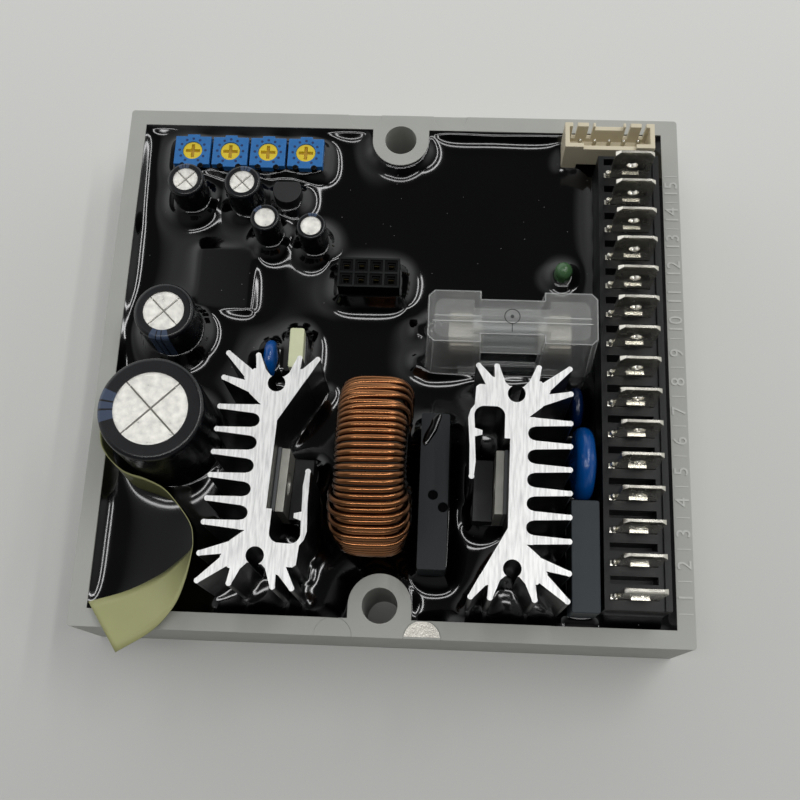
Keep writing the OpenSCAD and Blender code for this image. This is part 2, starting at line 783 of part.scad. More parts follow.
// Point of the winding's skin: i counts half turns round the ring, j runs round its section
function skin_point(i, j) =
    let (half_w = choke_w / 2 - (i % 2) * ridge,
         half_r = (choke_d - wound_hole_d) / 4 - (i % 2) * ridge,
         r = (choke_d + wound_hole_d) / 4 + half_r * signed_power(sin(j * 360 / section_steps)),
         turn = i * 360 / ring_steps)
    [half_w * signed_power(cos(j * 360 / section_steps)), r * cos(turn), choke_z + r * sin(turn)];
function skin_index(i, j) = (i % ring_steps) * section_steps + j % section_steps;

module choke_envelope(gap) {
    translate([-choke_w / 2 - gap, 0, choke_z]) rotate([0, 90, 0])
        cylinder(d = choke_d + 2 * gap, h = choke_w + 2 * gap);
}

module core_ring(gap) {
    translate([0, 0, choke_z]) rotate([0, 90, 0]) rotate_extrude()
        translate([(core_d + core_hole_d) / 4, 0])
            rounded((core_d - core_hole_d) / 2 + 2 * gap, core_w + 2 * gap, core_r);
}

module choke_core() {
    color("#8a8d80") on_board(choke_at) in_row() core_ring(0);
}

module choke_winding() {
    points = [for (i = [0:ring_steps - 1], j = [0:section_steps - 1]) skin_point(i, j)];
    faces = [for (i = [0:ring_steps - 1], j = [0:section_steps - 1])
        each [[skin_index(i, j), skin_index(i, j + 1), skin_index(i + 1, j + 1)],
              [skin_index(i, j), skin_index(i + 1, j + 1), skin_index(i + 1, j)]]];
    color("#b97846") on_board(choke_at) in_row() difference() {
        polyhedron(points, faces);
        core_ring(pot_gap);
    }
}

// Boxed film capacitors
pit_d = 1.6;
pit_depth = 0.4;
pits = [[-0.1, -0.8], [1.5, -2.7]];
module film_outline(size, gap) rounded(size[0] + 2 * gap, size[1] + 2 * gap, film_r);
module film_capacitor(place, size) on_board(place) linear_extrude(size[2]) film_outline(size, 0);

module tall_film_capacitor() {
    color("#2d3032") difference() {
        film_capacitor(tall_film_at, tall_film_fit);
        on_board(tall_film_at) for (pit = pits)
            translate([pit[0], pit[1], tall_film[2] - pit_depth]) cylinder(d = pit_d, h = cut);
    }
}

module side_film_capacitor() color("#3e444a") film_capacitor(side_film_at, side_film_fit);
module small_film_capacitor() color("#c8cdaa") film_capacitor(small_film_at, small_film);

// Dipped discs on edge, their axes along X, swelling to a round rim
varistor_z = varistor_d / 2 + 1;
left_disc_z = left_disc_d / 2 + 0.75;
right_disc_z = right_disc_d / 2 + 0.2;

module disc(d, t, z) {
    rim = t * 0.35;
    translate([-t / 2, 0, z]) rotate([0, 90, 0]) rotate_extrude() intersection() {
        union() {
            square([d / 2 - 3 * rim, t]);
            translate([d / 2 - rim, t / 2]) circle(rim);
            polygon([[d / 2 - 3 * rim, 0], [d / 2 - rim, t / 2 - rim],
                     [d / 2 - rim, t / 2 + rim], [d / 2 - 3 * rim, t]]);
        }
        square([d / 2, t]);
    }
}

module varistor() color("#144696") on_board(varistor_at) disc(varistor_d, varistor_w, varistor_z);
module disc_capacitor_left() color("#1f5fae") on_board(left_disc_at) disc(left_disc_d, disc_t, left_disc_z);
module disc_capacitor_right() {
    color("#12305f") on_board(right_disc_at) disc(right_disc_d, disc_t, right_disc_z);
}

// Small transistor with a flat back
transistor_flat = 1.5;
module transistor_outline(gap) intersection() {
    circle(d = transistor_d + 2 * gap);
    translate([-transistor_d, -transistor_d])
        square([2 * transistor_d, transistor_d + transistor_flat + gap]);
}
module small_transistor() {
    color("#1a1b1c") on_board(transistor_at) linear_extrude(transistor_h) transistor_outline(0);
}

// Indicator lamp: flange, barrel and dome
lamp_flange_d = lamp_d + 0.5;
lamp_flange_h = 2.6;
module indicator_lamp() color("#3c5a3c") on_board(lamp_at) rotate_extrude() {
    square([lamp_flange_d / 2, lamp_flange_h]);
    square([lamp_d / 2, lamp_h - lamp_d / 2]);
    translate([0, lamp_h - lamp_d / 2]) intersection() {
        circle(d = lamp_d);
        square(lamp_d);
    }
}

module potted_module() {
    color("#141416") on_board(module_at) linear_extrude(module_h) square([module_w, module_d], center = true);
}

// Fuse holder: base in the resin, two sprung clips, a glass fuse and a lift-off cover
base_inset = 0.2;
ear = [2, 1.4];
ear_y = [2.7, -3.1];
plinth_h = 1;
fuse_path_gap = 0.4;
seat_gap = 0.03;
clip_l = 3.6;
clip_inset = 2;
clip_foot_w = 3.4;
clip_rise = 3.4;
cover_draft = 0.9;
block_end_draft = 1;
cover_chamfer = 0.9;
skirt_step = [3.6, 0.6];
bridge_z = 7.2;
rail_h = 0.8;
rail_t = 0.8;
fuse_floor_z = fuse_base_h + plinth_h;
fuse_z = fuse_floor_z + clip_t + seat_gap + fuse_d / 2;
clip_mid = fuse_l / 2 - clip_inset;
cap_mid = (fuse_l - fuse_cap_l) / 2;
block_mid = (cover_l - cover_block_l) / 2;
fuse_path_w = fuse_d + 2 * fuse_path_gap;
glass_d = fuse_d - 0.5;
glass_t = 0.6;
fuse_cap_wall = 0.3;
glass_l = fuse_l - 2 * fuse_cap_wall;
fuse_wire_d = 0.3;

module fuse_base_outline(gap) {
    w = cover_l - 2 * base_inset;
    d = cover_d - 2 * base_inset;
    square([w + 2 * gap, d + 2 * gap], center = true);
    for (y = ear_y) translate([-w / 2 - ear[0] / 2, y])
        square([ear[0] + 2 * gap, ear[1] + 2 * gap], center = true);
}

module fuse_base() {
    color("#1a1b1c") on_board(fuse_at) {
        linear_extrude(fuse_base_h) fuse_base_outline(0);
        for (side = [-1, 1]) translate([side * clip_mid, 0, fuse_base_h])
            linear_extrude(plinth_h) square([clip_l, clip_foot_w + 1], center = true);
    }
}

// Clip: a flat foot and two leaves that bow round the end cap and flare at the top
module clip_section() {
    r = fuse_d / 2 + seat_gap;
    mouth = r * 0.72;
    difference() {
        circle(r + clip_t);
        circle(r);
        translate([-mouth, 0]) square([2 * mouth, 2 * r]);
    }
    translate([-clip_foot_w / 2, -r - clip_t]) square([clip_foot_w, clip_t]);
    for (side = [-1, 1])
        arm([side * (mouth + clip_t * 0.35), r * 0.72], [side * (mouth + 0.75), clip_rise], clip_t, clip_t);
}

module fuse_clips() {
    color("#cfcdbf") on_board(fuse_at) for (side = [-1, 1])
        translate([side * clip_mid - clip_l / 2, 0, fuse_z])
            rotate([90, 0, 90]) linear_extrude(clip_l) clip_section();
}

module fuse_end_caps() {
    color("#c9cac6") on_board(fuse_at) for (side = [-1, 1])
        translate([side * cap_mid - fuse_cap_l / 2, 0, fuse_z]) rotate([0, 90, 0]) difference() {
            cylinder(d = fuse_d, h = fuse_cap_l);
            translate([0, 0, side > 0 ? -cut : fuse_cap_wall])
                cylinder(d = glass_d + 2 * seat_gap, h = fuse_cap_l - fuse_cap_wall + cut);
        }
}

module fuse_tube() {
    color("#dfe6e6", 0.5) on_board(fuse_at)
    translate([-glass_l / 2, 0, fuse_z]) rotate([0, 90, 0]) difference() {
        cylinder(d = glass_d, h = glass_l);
        translate([0, 0, -cut]) cylinder(d = glass_d - 2 * glass_t, h = glass_l + 2 * cut);
    }
}

module fuse_wire() {
    color("#b8b8b4") on_board(fuse_at) translate([-glass_l / 2, 0, fuse_z]) rotate([0, 90, 0])
        cylinder(d = fuse_wire_d, h = glass_l);
}

// Oblong whose +X corners are cut off
module cut_oblong(l, d, chamfer) {
    polygon([[-l / 2, -d / 2], [l / 2 - chamfer, -d / 2], [l / 2, chamfer - d / 2],
             [l / 2, d / 2 - chamfer], [l / 2 - chamfer, d / 2], [-l / 2, d / 2]]);
}

// Block whose sides lean in towards its top
module draft_block(l, d, l_top, d_top, h, chamfer) {
    hull() {
        linear_extrude(skin) cut_oblong(l, d, chamfer);
        translate([0, 0, h - skin]) linear_extrude(skin) cut_oblong(l_top, d_top, chamfer);
    }
}

// End block of the cover, its cut corners outwards
module cover_block(side, inset, h) {
    rotate(side > 0 ? 0 : 180) translate([block_mid, 0, 0])
        draft_block(cover_block_l - 2 * inset, cover_d - 2 * inset,
                    cover_block_l - 2 * inset - block_end_draft, cover_d - 2 * inset - 2 * cover_draft, h,
                    cover_chamfer);
}

module fuse_cover() {
    bridge_h = cover_h - bridge_z;
    bridge_wide = bridge_d + 2 * cover_draft;
    color("#b4b6b4", 0.6) on_board(fuse_at) translate([0, 0, fuse_base_h]) difference() {
        union() {
            for (side = [-1, 1]) cover_block(side, 0, cover_h);
            translate([0, 0, bridge_z])
                draft_block(2 * block_mid, bridge_wide, 2 * block_mid, bridge_d, bridge_h, skin);
            for (side = [-1, 1]) translate([0, side * (cover_d / 2 - 2), rail_h / 2])
                cube([2 * block_mid, rail_t, rail_h], center = true);
        }
        for (side = [-1, 1]) translate([0, 0, -skin]) cover_block(side, cover_t, cover_h - cover_t);
        for (side = [-1, 1])
            translate([side * (block_mid - cover_block_l / 2 + skirt_step[0] / 2), -cover_d / 2, 0])
                cube([skirt_step[0] + 2 * skin, 3 * cover_t, 2 * skirt_step[1]], center = true);
        translate([0, 0, bridge_z - skin])
            draft_block(2 * block_mid, bridge_wide - 2 * cover_t,
                        2 * block_mid, bridge_d - 2 * cover_t, bridge_h - cover_t, skin);
        translate([-block_mid, 0, fuse_z - fuse_base_h]) {
            rotate([0, 90, 0]) cylinder(d = fuse_path_w, h = 2 * block_mid);
            translate([0, -fuse_path_w / 2, -fuse_z]) cube([2 * block_mid, fuse_path_w, fuse_z]);
        }
    }
}

// Film strip standing on the resin beside the main capacitor and flopping over the front rim.
// Stations run from its taped end: lower edge and upper edge, from the tray's front left corner
tape_stations = [
    [[0.5, 28.6, 0.1], [0.5, 29, 1]],
    [[1.4, 24.1, 0.1], [1.4, 24.5, 1]],
    [[5, 20.3, 0.1], [4.9, 21, 1]],
    [[8.6, 19, 0.1], [8.8, 19.7, 1]],
    [[11.3, 18.1, 0.1], [11.8, 18.3, 1]],
    [[12.8, 17, 0.1], [14.3, 15.9, 1]],
    [[14.8, 14.3, 0.1], [16.6, 12.9, 1]],
    [[15.2, 10.1, 0.2], [17.2, 8.5, 0.95]],
    [[13.1, 7.8, 0.6], [16.3, 4, 0.8]],
    [[10.7, 5.7, 1], [14.7, 0.1, 0.7]],
    [[6.3, 2.9, 2.5], [11.4, -3.5, 0.5]],
    [[0.5, 0.9, 3], [6, -6.8, 0.3]]];

// Lower point as listed; the upper point's third value is the share of the width that stands up
function tape_low(k) = tape_stations[k][0] + [left, front, resin_z];
function tape_high(k) =
    let (low = tape_stations[k][0], high = tape_stations[k][1])
    [high[0] + left, high[1] + front, resin_z + low[2] + tape_w * high[2] * 0.97];
// Level direction across the strip's thickness at a station
function tape_across(k) =
    let (a = tape_low(max(k - 1, 0)), b = tape_low(min(k + 1, len(tape_stations) - 1)), run = b - a)
    [-run[1], run[0], 0] / norm([run[0], run[1]]) * tape_t / 2;

module film_tape() {
    count = len(tape_stations);
    points = [for (k = [0:count - 1]) each [tape_low(k) - tape_across(k), tape_low(k) + tape_across(k),
                                            tape_high(k) + tape_across(k), tape_high(k) - tape_across(k)]];
    sides = [for (k = [0:count - 2], j = [0:3])
        each [[4 * k + j, 4 * k + (j + 1) % 4, 4 * k + 4 + (j + 1) % 4],
              [4 * k + j, 4 * k + 4 + (j + 1) % 4, 4 * k + 4 + j]]];
    last = 4 * (count - 1);
    ends = [[0, 3, 2], [0, 2, 1], [last, last + 1, last + 2], [last, last + 2, last + 3]];
    color("#a3a575") polyhedron(points, concat(sides, ends));
}

tray();
circuit_board();
potting_resin();
terminal_strip();
tab_terminals();
header_shell();
header_pins();
socket_strip();
socket_contacts();
trimmer_body(1);  // trimmer_body_1
trimmer_body(2);  // trimmer_body_2
trimmer_body(3);  // trimmer_body_3
trimmer_body(4);  // trimmer_body_4
trimmer_rotor(1);  // trimmer_rotor_1
trimmer_rotor(2);  // trimmer_rotor_2
trimmer_rotor(3);  // trimmer_rotor_3
trimmer_rotor(4);  // trimmer_rotor_4
capacitor_can(CAPS[0]);  // main_capacitor_can
capacitor_sleeve(CAPS[0]);  // main_capacitor_sleeve
capacitor_can(CAPS[1]);  // supply_capacitor_can
capacitor_sleeve(CAPS[1]);  // supply_capacitor_sleeve
capacitor_can(CAPS[2]);  // filter_capacitor_can_1
capacitor_sleeve(CAPS[2]);  // filter_capacitor_sleeve_1
capacitor_can(CAPS[3]);  // filter_capacitor_can_2
capacitor_sleeve(CAPS[3]);  // filter_capacitor_sleeve_2
capacitor_can(CAPS[4]);  // timing_capacitor_can_1
capacitor_sleeve(CAPS[4]);  // timing_capacitor_sleeve_1
capacitor_can(CAPS[5]);  // timing_capacitor_can_2
capacitor_sleeve(CAPS[5]);  // timing_capacitor_sleeve_2
heat_sink(sink_left_at, sink_left_turn);  // heat_sink_left
heat_sink(sink_right_at, sink_right_turn);  // heat_sink_right
power_device(sink_left_at, sink_left_turn);  // power_device_left
power_device(sink_right_at, sink_right_turn);  // power_device_right
device_tab(sink_left_at, sink_left_turn);  // device_tab_left
device_tab(sink_right_at, sink_right_turn);  // device_tab_right
insulating_pad(sink_left_at, sink_left_turn);  // insulating_pad_left
insulating_pad(sink_right_at, sink_right_turn);  // insulating_pad_right
choke_core();
choke_winding();
tall_film_capacitor();
side_film_capacitor();
small_film_capacitor();
varistor();
disc_capacitor_left();
disc_capacitor_right();
small_transistor();
indicator_lamp();
potted_module();
fuse_base();
fuse_clips();
fuse_tube();
fuse_wire();
fuse_end_caps();
fuse_cover();
film_tape();
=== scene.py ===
import math

import bmesh
import bpy
import numpy as np
from mathutils import Matrix, Vector, noise


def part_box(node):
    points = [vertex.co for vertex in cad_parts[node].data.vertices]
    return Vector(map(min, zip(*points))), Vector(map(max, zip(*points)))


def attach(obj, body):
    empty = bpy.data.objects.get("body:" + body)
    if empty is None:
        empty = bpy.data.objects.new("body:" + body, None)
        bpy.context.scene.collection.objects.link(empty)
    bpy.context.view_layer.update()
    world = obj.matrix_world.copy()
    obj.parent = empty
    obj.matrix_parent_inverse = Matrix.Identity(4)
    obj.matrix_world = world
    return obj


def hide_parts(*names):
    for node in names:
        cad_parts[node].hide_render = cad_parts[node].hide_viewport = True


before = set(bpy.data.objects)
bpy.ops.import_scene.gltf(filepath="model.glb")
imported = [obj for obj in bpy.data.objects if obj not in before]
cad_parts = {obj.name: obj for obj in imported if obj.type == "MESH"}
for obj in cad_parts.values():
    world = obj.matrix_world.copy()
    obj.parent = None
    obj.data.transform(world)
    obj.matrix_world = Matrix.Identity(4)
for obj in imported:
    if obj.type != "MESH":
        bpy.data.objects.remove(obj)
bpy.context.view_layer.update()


# Tray: a moulded grey thermoplastic box with a fine matt skin and softly broken edges. Two bosses
# in its front and back walls take the fixing screws. The right rim carries a raised number and a
# cross line for each terminal, painted lighter than the rim as a painted highlight, and a round
# mark of the mould on the front rim is painted lighter and glossier as a painted highlight.
MM = 0.001
scene = bpy.context.scene


def rgb(r, g, b):
    """A colour written as it shows on screen, turned into scene values."""
    return tuple((v / 255) ** 2.2 for v in (r, g, b)) + (1.0,)


def node_group(name, inputs, outputs):
    """An empty shader group with float, colour or vector sockets, and the sockets at its two ends."""
    group = bpy.data.node_groups.new(name, "ShaderNodeTree")
    for label, kind, value in inputs:
        group.interface.new_socket(label, in_out="INPUT", socket_type=kind).default_value = value
    for label, kind in outputs:
        group.interface.new_socket(label, in_out="OUTPUT", socket_type=kind)
    return group, group.nodes.new("NodeGroupInput").outputs, group.nodes.new("NodeGroupOutput").inputs


def place(tree, kind, links=(), **values):
    """A node with its properties set, and its input sockets set or linked by name or number."""
    node = tree.nodes.new(kind)
    for key, value in values.items():
        setattr(node, key, value)
    for key, value in links:
        if isinstance(value, bpy.types.NodeSocket):
            tree.links.new(value, node.inputs[key])
        else:
            node.inputs[key].default_value = value
    return node


def reckon(tree, operation, *values, **settings):
    """Result of a Math node on sockets or numbers."""
    return place(tree, "ShaderNodeMath", enumerate(values), operation=operation, **settings).outputs[0]


def dimmed(tree, color, share):
    """A colour multiplied by a share."""
    return place(tree, "ShaderNodeVectorMath", ((0, color), (3, share)), operation="SCALE").outputs[0]


def surface_point(tree):
    """Place of the shaded point in the part's own frame."""
    return place(tree, "ShaderNodeTexCoord").outputs["Object"]


COLOR, FLOAT, VECTOR = "NodeSocketColor", "NodeSocketFloat", "NodeSocketVector"
speck_fineness = 9.0
grain, inlet, outlet = node_group(
    "grain",
    (("Color", COLOR, (0.5, 0.5, 0.5, 1)), ("Spread", FLOAT, 0.1), ("Roughness", FLOAT, 0.5),
     ("Uneven", FLOAT, 0.1), ("Scale", FLOAT, 400.0)),
    (("Color", COLOR), ("Roughness", FLOAT), ("Height", FLOAT)))
at = surface_point(grain)
cloud = place(grain, "ShaderNodeTexNoise", (("Vector", at), ("Scale", inlet["Scale"]), ("Detail", 4.0)))
finer = reckon(grain, "MULTIPLY", inlet["Scale"], speck_fineness)
speck = place(grain, "ShaderNodeTexNoise", (("Vector", at), ("Scale", finer), ("Detail", 2.0)))
shift = reckon(grain, "SUBTRACT", cloud.outputs["Fac"], 0.5)
swing = reckon(grain, "MULTIPLY_ADD", shift, inlet["Spread"], 1.0)
gloss = reckon(grain, "MULTIPLY_ADD", shift, inlet["Uneven"], inlet["Roughness"])
grain.links.new(dimmed(grain, inlet["Color"], swing), outlet["Color"])
grain.links.new(gloss, outlet["Roughness"])
grain.links.new(speck.outputs["Fac"], outlet["Height"])
relief_depth = 0.05 * MM


def finish(name, color, roughness, metallic=0.0, spread=0.25, uneven=0.15, scale=400.0, bump=0.1, sockets=()):
    """A material with cloudy colour, uneven gloss and fine relief, and other shader sockets by name."""
    material = bpy.data.materials.new(name)
    material.use_nodes = True
    tree = material.node_tree
    shader = tree.nodes["Principled BSDF"]
    group = place(tree, "ShaderNodeGroup", node_tree=grain, name="grain")
    for label, value in (("Color", color), ("Spread", spread), ("Roughness", roughness),
                         ("Uneven", uneven), ("Scale", scale)):
        group.inputs[label].default_value = value
    relief = place(tree, "ShaderNodeBump",
                   (("Height", group.outputs["Height"]), ("Strength", bump), ("Distance", relief_depth)))
    tree.links.new(group.outputs["Color"], shader.inputs["Base Color"])
    tree.links.new(group.outputs["Roughness"], shader.inputs["Roughness"])
    tree.links.new(relief.outputs[0], shader.inputs["Normal"])
    for label, value in (("Metallic", metallic), *sockets):
        shader.inputs[label].default_value = value
    return material


def piece(name, bm, material, body="regulator", nodes=(), smooth=30):
    """A new mesh piece on a body, shown in place of CAD nodes."""
    mesh = bpy.data.meshes.new(name)
    bmesh.ops.recalc_face_normals(bm, faces=bm.faces)
    bm.to_mesh(mesh)
    bm.free()
    mesh.shade_smooth()
    mesh.set_sharp_from_angle(angle=math.radians(smooth))
    obj = bpy.data.objects.new(name, mesh)
    scene.collection.objects.link(obj)
    mesh.materials.append(material)
    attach(obj, body)
    if nodes:
        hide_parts(*nodes)
    return obj


def joined_up(node, gap=0.002 * MM, flat=math.radians(0.5)):
    """The mesh of a CAD node with its doubled points and flat seams taken out."""
    bm = bmesh.new()
    bm.from_mesh(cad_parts[node].data)
    bmesh.ops.remove_doubles(bm, verts=bm.verts, dist=gap)
    bmesh.ops.dissolve_limit(bm, angle_limit=flat, verts=bm.verts, edges=bm.edges)
    return bm


def edged(node, material, width=0.12, body="regulator", corner=32):
    """A copy of a CAD node with its sharp edges rounded, shown in the node's place."""
    bm = joined_up(node)
    sharp = [e for e in bm.edges if len(e.link_faces) == 2 and e.calc_face_angle() > math.radians(corner)]
    bmesh.ops.bevel(bm, geom=sharp, offset=width * MM, segments=2, profile=0.5, affect="EDGES",
                    clamp_overlap=True)
    obj = piece(node + ".edged", bm, material, body, (node,), smooth=40)
    obj.modifiers.new("flat faces", "WEIGHTED_NORMAL").keep_sharp = True
    return obj


def about_z(degrees):
    """A turn about the upright axis."""
    return Matrix.Rotation(math.radians(degrees), 4, "Z")


def bar(bm, middle, size, turn=Matrix.Identity(4)):
    """A box added to a mesh, with its middle in metres and its size in millimetres."""
    bmesh.ops.create_cube(bm, size=MM, matrix=Matrix.Translation(middle) @ turn @ Matrix.Diagonal((*size, 1)))


def disc(bm, middle, radius, thick, segments, turn=Matrix.Identity(4)):
    """A round plate added to a mesh, with its middle in metres and its sizes in millimetres."""
    bmesh.ops.create_cone(bm, cap_ends=True, segments=segments, radius1=radius * MM, radius2=radius * MM,
                          depth=thick * MM, matrix=Matrix.Translation(middle) @ turn)


tray_plastic = finish("tray plastic", rgb(162, 163, 157), 0.5, spread=0.1, uneven=0.3, scale=180, bump=0.35)
edged("tray", tray_plastic, 0.3)

rim_z = 18.0
rim_x0, rim_x1 = 46.7, 48.9
tab_count, tab_pitch = 15, 5.08
first_line_y, line_w, line_h = -40.96, 0.16, 0.12
number_x, number_size, number_h = 47.9, 3.2, 0.12
numbers = bmesh.new()
for k in range(tab_count + 1):
    middle = Vector(((rim_x0 + rim_x1) / 2, first_line_y + k * tab_pitch, rim_z)) * MM
    bar(numbers, middle, (rim_x1 - rim_x0, line_w, line_h))
for k in range(tab_count):
    font = bpy.data.curves.new("number", "FONT")
    font.body = str(k + 1)
    font.size = number_size * MM
    font.align_x = font.align_y = "CENTER"
    font.extrude = number_h * MM
    font.resolution_u = 3
    text = bpy.data.objects.new("number", font)
    scene.collection.objects.link(text)
    mesh = bpy.data.meshes.new_from_object(text.evaluated_get(bpy.context.evaluated_depsgraph_get()))
    spot = Vector((number_x, first_line_y + (k + 0.5) * tab_pitch, rim_z)) * MM
    mesh.transform(Matrix.Translation(spot) @ about_z(90))
    numbers.from_mesh(mesh)
    bpy.data.objects.remove(text)
    bpy.data.meshes.remove(mesh)
# The raised numbers and cross lines are painted lighter than the rim, as a painted highlight.
rim_highlight = finish("rim painted highlight", rgb(186, 187, 182), 0.3, spread=0.15, uneven=0.3, scale=300, bump=0.2)
piece("rim_numbers", numbers, rim_highlight)

mark_x, mark_y, mark_sunk = 6.8, -46.4, 0.11
mark_r, mark_t = 2.85, 0.04
mark_from_y, mark_to_y = -46.05, -43.65
highlight_disc = bmesh.new()
disc(highlight_disc, Vector((mark_x, mark_y, rim_z - mark_sunk)) * MM, mark_r, mark_t, 48)
for cut_y, way in ((mark_from_y, -1), (mark_to_y, 1)):
    bmesh.ops.bisect_plane(highlight_disc, geom=highlight_disc.verts[:] + highlight_disc.edges[:] + highlight_disc.faces[:],
                           plane_co=(0, cut_y * MM, 0), plane_no=(0, way, 0), clear_outer=True)
bmesh.ops.holes_fill(highlight_disc, edges=highlight_disc.edges)
# The mould mark is painted lighter than the rim, as a painted highlight.
mark_shine = finish("mark shine", rgb(214, 210, 200), 0.24, 0.2, spread=0.6, uneven=0.4, scale=420, bump=1.0)
piece("mark_highlight", highlight_disc, mark_shine)


# Circuit board: green solder mask on glass epoxy. It lies on the tray's ledges and is wholly
# under the resin.
def coat(node, material):
    """Puts a material on a CAD node that is shown as it is."""
    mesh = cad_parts[node].data
    mesh.materials.clear()
    mesh.materials.append(material)


coat("circuit_board", finish("board", rgb(20, 70, 38), 0.5))


# Potting resin: poured glossy black, so it climbs the walls and every piece standing in it
# and covers the flat module with a thin skin. The surface is held at each wall and piece and
# falls away between them as a liquid's does.
def outline_points(node, z, step):
    """Points along the cut of a CAD node by a level plane, in metres."""
    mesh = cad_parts[node].data
    mesh.calc_loop_triangles()
    found = []
    for tri in mesh.loop_triangles:
        cuts = []
        corners = [mesh.vertices[i].co for i in tri.vertices]
        for a, b in zip(corners, corners[1:] + corners[:1]):
            if (a.z - z) * (b.z - z) < 0:
                cuts.append(a.lerp(b, (z - a.z) / (b.z - a.z)))
        if len(cuts) == 2:
            count = max(1, math.ceil((cuts[1] - cuts[0]).length / step))
            found += [cuts[0].lerp(cuts[1], i / count) for i in range(count + 1)]
    return [Vector((p.x, p.y, 0)) for p in found]


resin_z, shore_above, shore_step = 16.0, 0.35, 0.3
wall_x, wall_y = 46.4, 43.55
wall_climb, piece_climb, header_climb, choke_climb = 1.9, 2.8, 1.0, 1.4
low_share, ragged_share, ragged_scale = 0.5, 0.15, 90
apart = ("circuit_board", "potting_resin", "potted_module", "film_tape", "header_shell", "header_pins",
         "choke_winding", "choke_core")
low_climbers = ("heat", "fuse", "terminal", "tab", "indicator", "main")
shore = []
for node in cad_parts:
    if node in apart:
        continue
    climb = wall_climb if node == "tray" else piece_climb
    if node.split("_")[0] in low_climbers:
        climb *= low_share
    shore += [(p, climb) for p in outline_points(node, (resin_z + shore_above) * MM, shore_step * MM)]

header_lo, header_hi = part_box("header_shell")
header_leg = 2.6 * MM
choke_lo, choke_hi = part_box("choke_winding")
choke_x, choke_y = (choke_lo.x + choke_hi.x) / 2, (choke_lo.y + choke_hi.y) / 2
foot_x, foot_y = 5.2 * MM, 6.3 * MM
shore_count = 40
for i in range(shore_count + 1):
    t = i / shore_count
    for x in (header_lo.x, header_lo.x + header_leg, header_hi.x - header_leg, header_hi.x):
        shore.append((Vector((x, header_lo.y + t * (header_hi.y - header_lo.y), 0)), header_climb))
    for side in (-1, 1):
        shore.append((Vector((choke_x + side * foot_x, choke_y + (t - 0.5) * 2 * foot_y, 0)), choke_climb))
        x = choke_lo.x + t * (choke_hi.x - choke_lo.x)
        shore.append((Vector((x, choke_y + side * foot_y, 0)), choke_climb))

cell, spread_length = 0.42, 1.9
columns, rows = math.ceil(2 * wall_x / cell), math.ceil(2 * wall_y / cell)
across, along = np.linspace(-wall_x, wall_x, columns + 1), np.linspace(-wall_y, wall_y, rows + 1)
rise = np.zeros((rows + 1, columns + 1))
held = np.zeros(rise.shape, bool)
for p, climb in shore:
    i, j = round((p.x / MM + wall_x) / cell), round((p.y / MM + wall_y) / cell)
    if 0 <= i <= columns and 0 <= j <= rows:
        rise[j, i] = max(rise[j, i], climb * (1 + ragged_share * noise.noise(p * ragged_scale)))
        held[j, i] = True
module_skin, module_apron = 1.25, 0.3
module_lo, module_hi = (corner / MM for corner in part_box("potted_module"))
over = np.outer((along > module_lo.y - module_apron) & (along < module_hi.y + module_apron),
                (across > module_lo.x - module_apron) & (across < module_hi.x + module_apron))
rise[over], held[over] = module_skin, True


def neighbours(field):
    """Sum of the four neighbours of each cell of a grid, whose edge counts twice."""
    past = np.pad(field, 1, mode="edge")
    return past[:-2, 1:-1] + past[2:, 1:-1] + past[1:-1, :-2] + past[1:-1, 2:]


settling_passes, smoothing_passes = 300, 2
for _ in range(settling_passes):
    rise = np.where(held, rise, neighbours(rise) / (4 + (cell / spread_length) ** 2))
for _ in range(smoothing_passes):
    rise = (neighbours(rise) + 2 * rise) / 6

swell_h, swell_scale, swell_start = 0.08, 45, Vector((3, 1, 0))
pour = bmesh.new()
net = []
for j, y in enumerate(along):
    net.append([])
    for i, x in enumerate(across):
        swell = swell_h * noise.noise(Vector((x, y, 0)) * MM * swell_scale + swell_start)
        net[-1].append(pour.verts.new(Vector((x, y, resin_z + rise[j, i] + swell)) * MM))
boss_y, boss_clear = 41.4, 3.6
for j in range(rows):
    for i in range(columns):
        corners = (net[j][i], net[j][i + 1], net[j + 1][i + 1], net[j + 1][i])
        middle = sum((v.co for v in corners), Vector()) / 4
        if min((Vector((0, s * boss_y * MM)) - middle.xy).length for s in (-1, 1)) > boss_clear * MM:
            pour.faces.new(corners)
bmesh.ops.delete(pour, geom=[v for v in pour.verts if not v.link_faces], context="VERTS")
skirt = bmesh.ops.extrude_edge_only(pour, edges=[e for e in pour.edges if e.is_boundary])["geom"]
resin_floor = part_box("potting_resin")[0].z
for v in skirt:
    if isinstance(v, bmesh.types.BMVert):
        v.co.z = resin_floor
bmesh.ops.contextual_create(
    pour, geom=[e for e in skirt if isinstance(e, bmesh.types.BMEdge) and e.is_boundary])


def ramp(tree, value, start, end, low=0.0, high=1.0):
    """A value that goes from low to high while another goes from start to end."""
    return place(tree, "ShaderNodeMapRange", (("Value", value), ("From Min", start), ("From Max", end),
                                              ("To Min", low), ("To Max", high))).outputs[0]


def blend(tree, mask, color, other):
    """One colour where the mask is 0, and the other where it is 1."""
    mix = place(tree, "ShaderNodeMix", (("Factor", mask), (6, color), (7, other)), data_type="RGBA")
    return mix.outputs[2]


def grain_color(material):
    """The cloudy colour that a finish starts from."""
    return material.node_tree.nodes["grain"].outputs["Color"]


def paint(material, color):
    """Gives a finish another base colour."""
    tree = material.node_tree
    tree.links.new(color, tree.nodes["Principled BSDF"].inputs["Base Color"])


resin = finish("resin", rgb(8, 8, 9), 0.09, spread=0.5, uneven=0.1, scale=90, bump=0.0)
tree = resin.node_tree
lint = place(tree, "ShaderNodeTexVoronoi", (("Vector", surface_point(tree)), ("Scale", 420.0)))
fleck = ramp(tree, lint.outputs["Distance"], 0.035, 0.02)
paint(resin, blend(tree, fleck, grain_color(resin), rgb(120, 120, 118)))
piece("resin_surface", pour, resin, nodes=("potting_resin",), smooth=80)


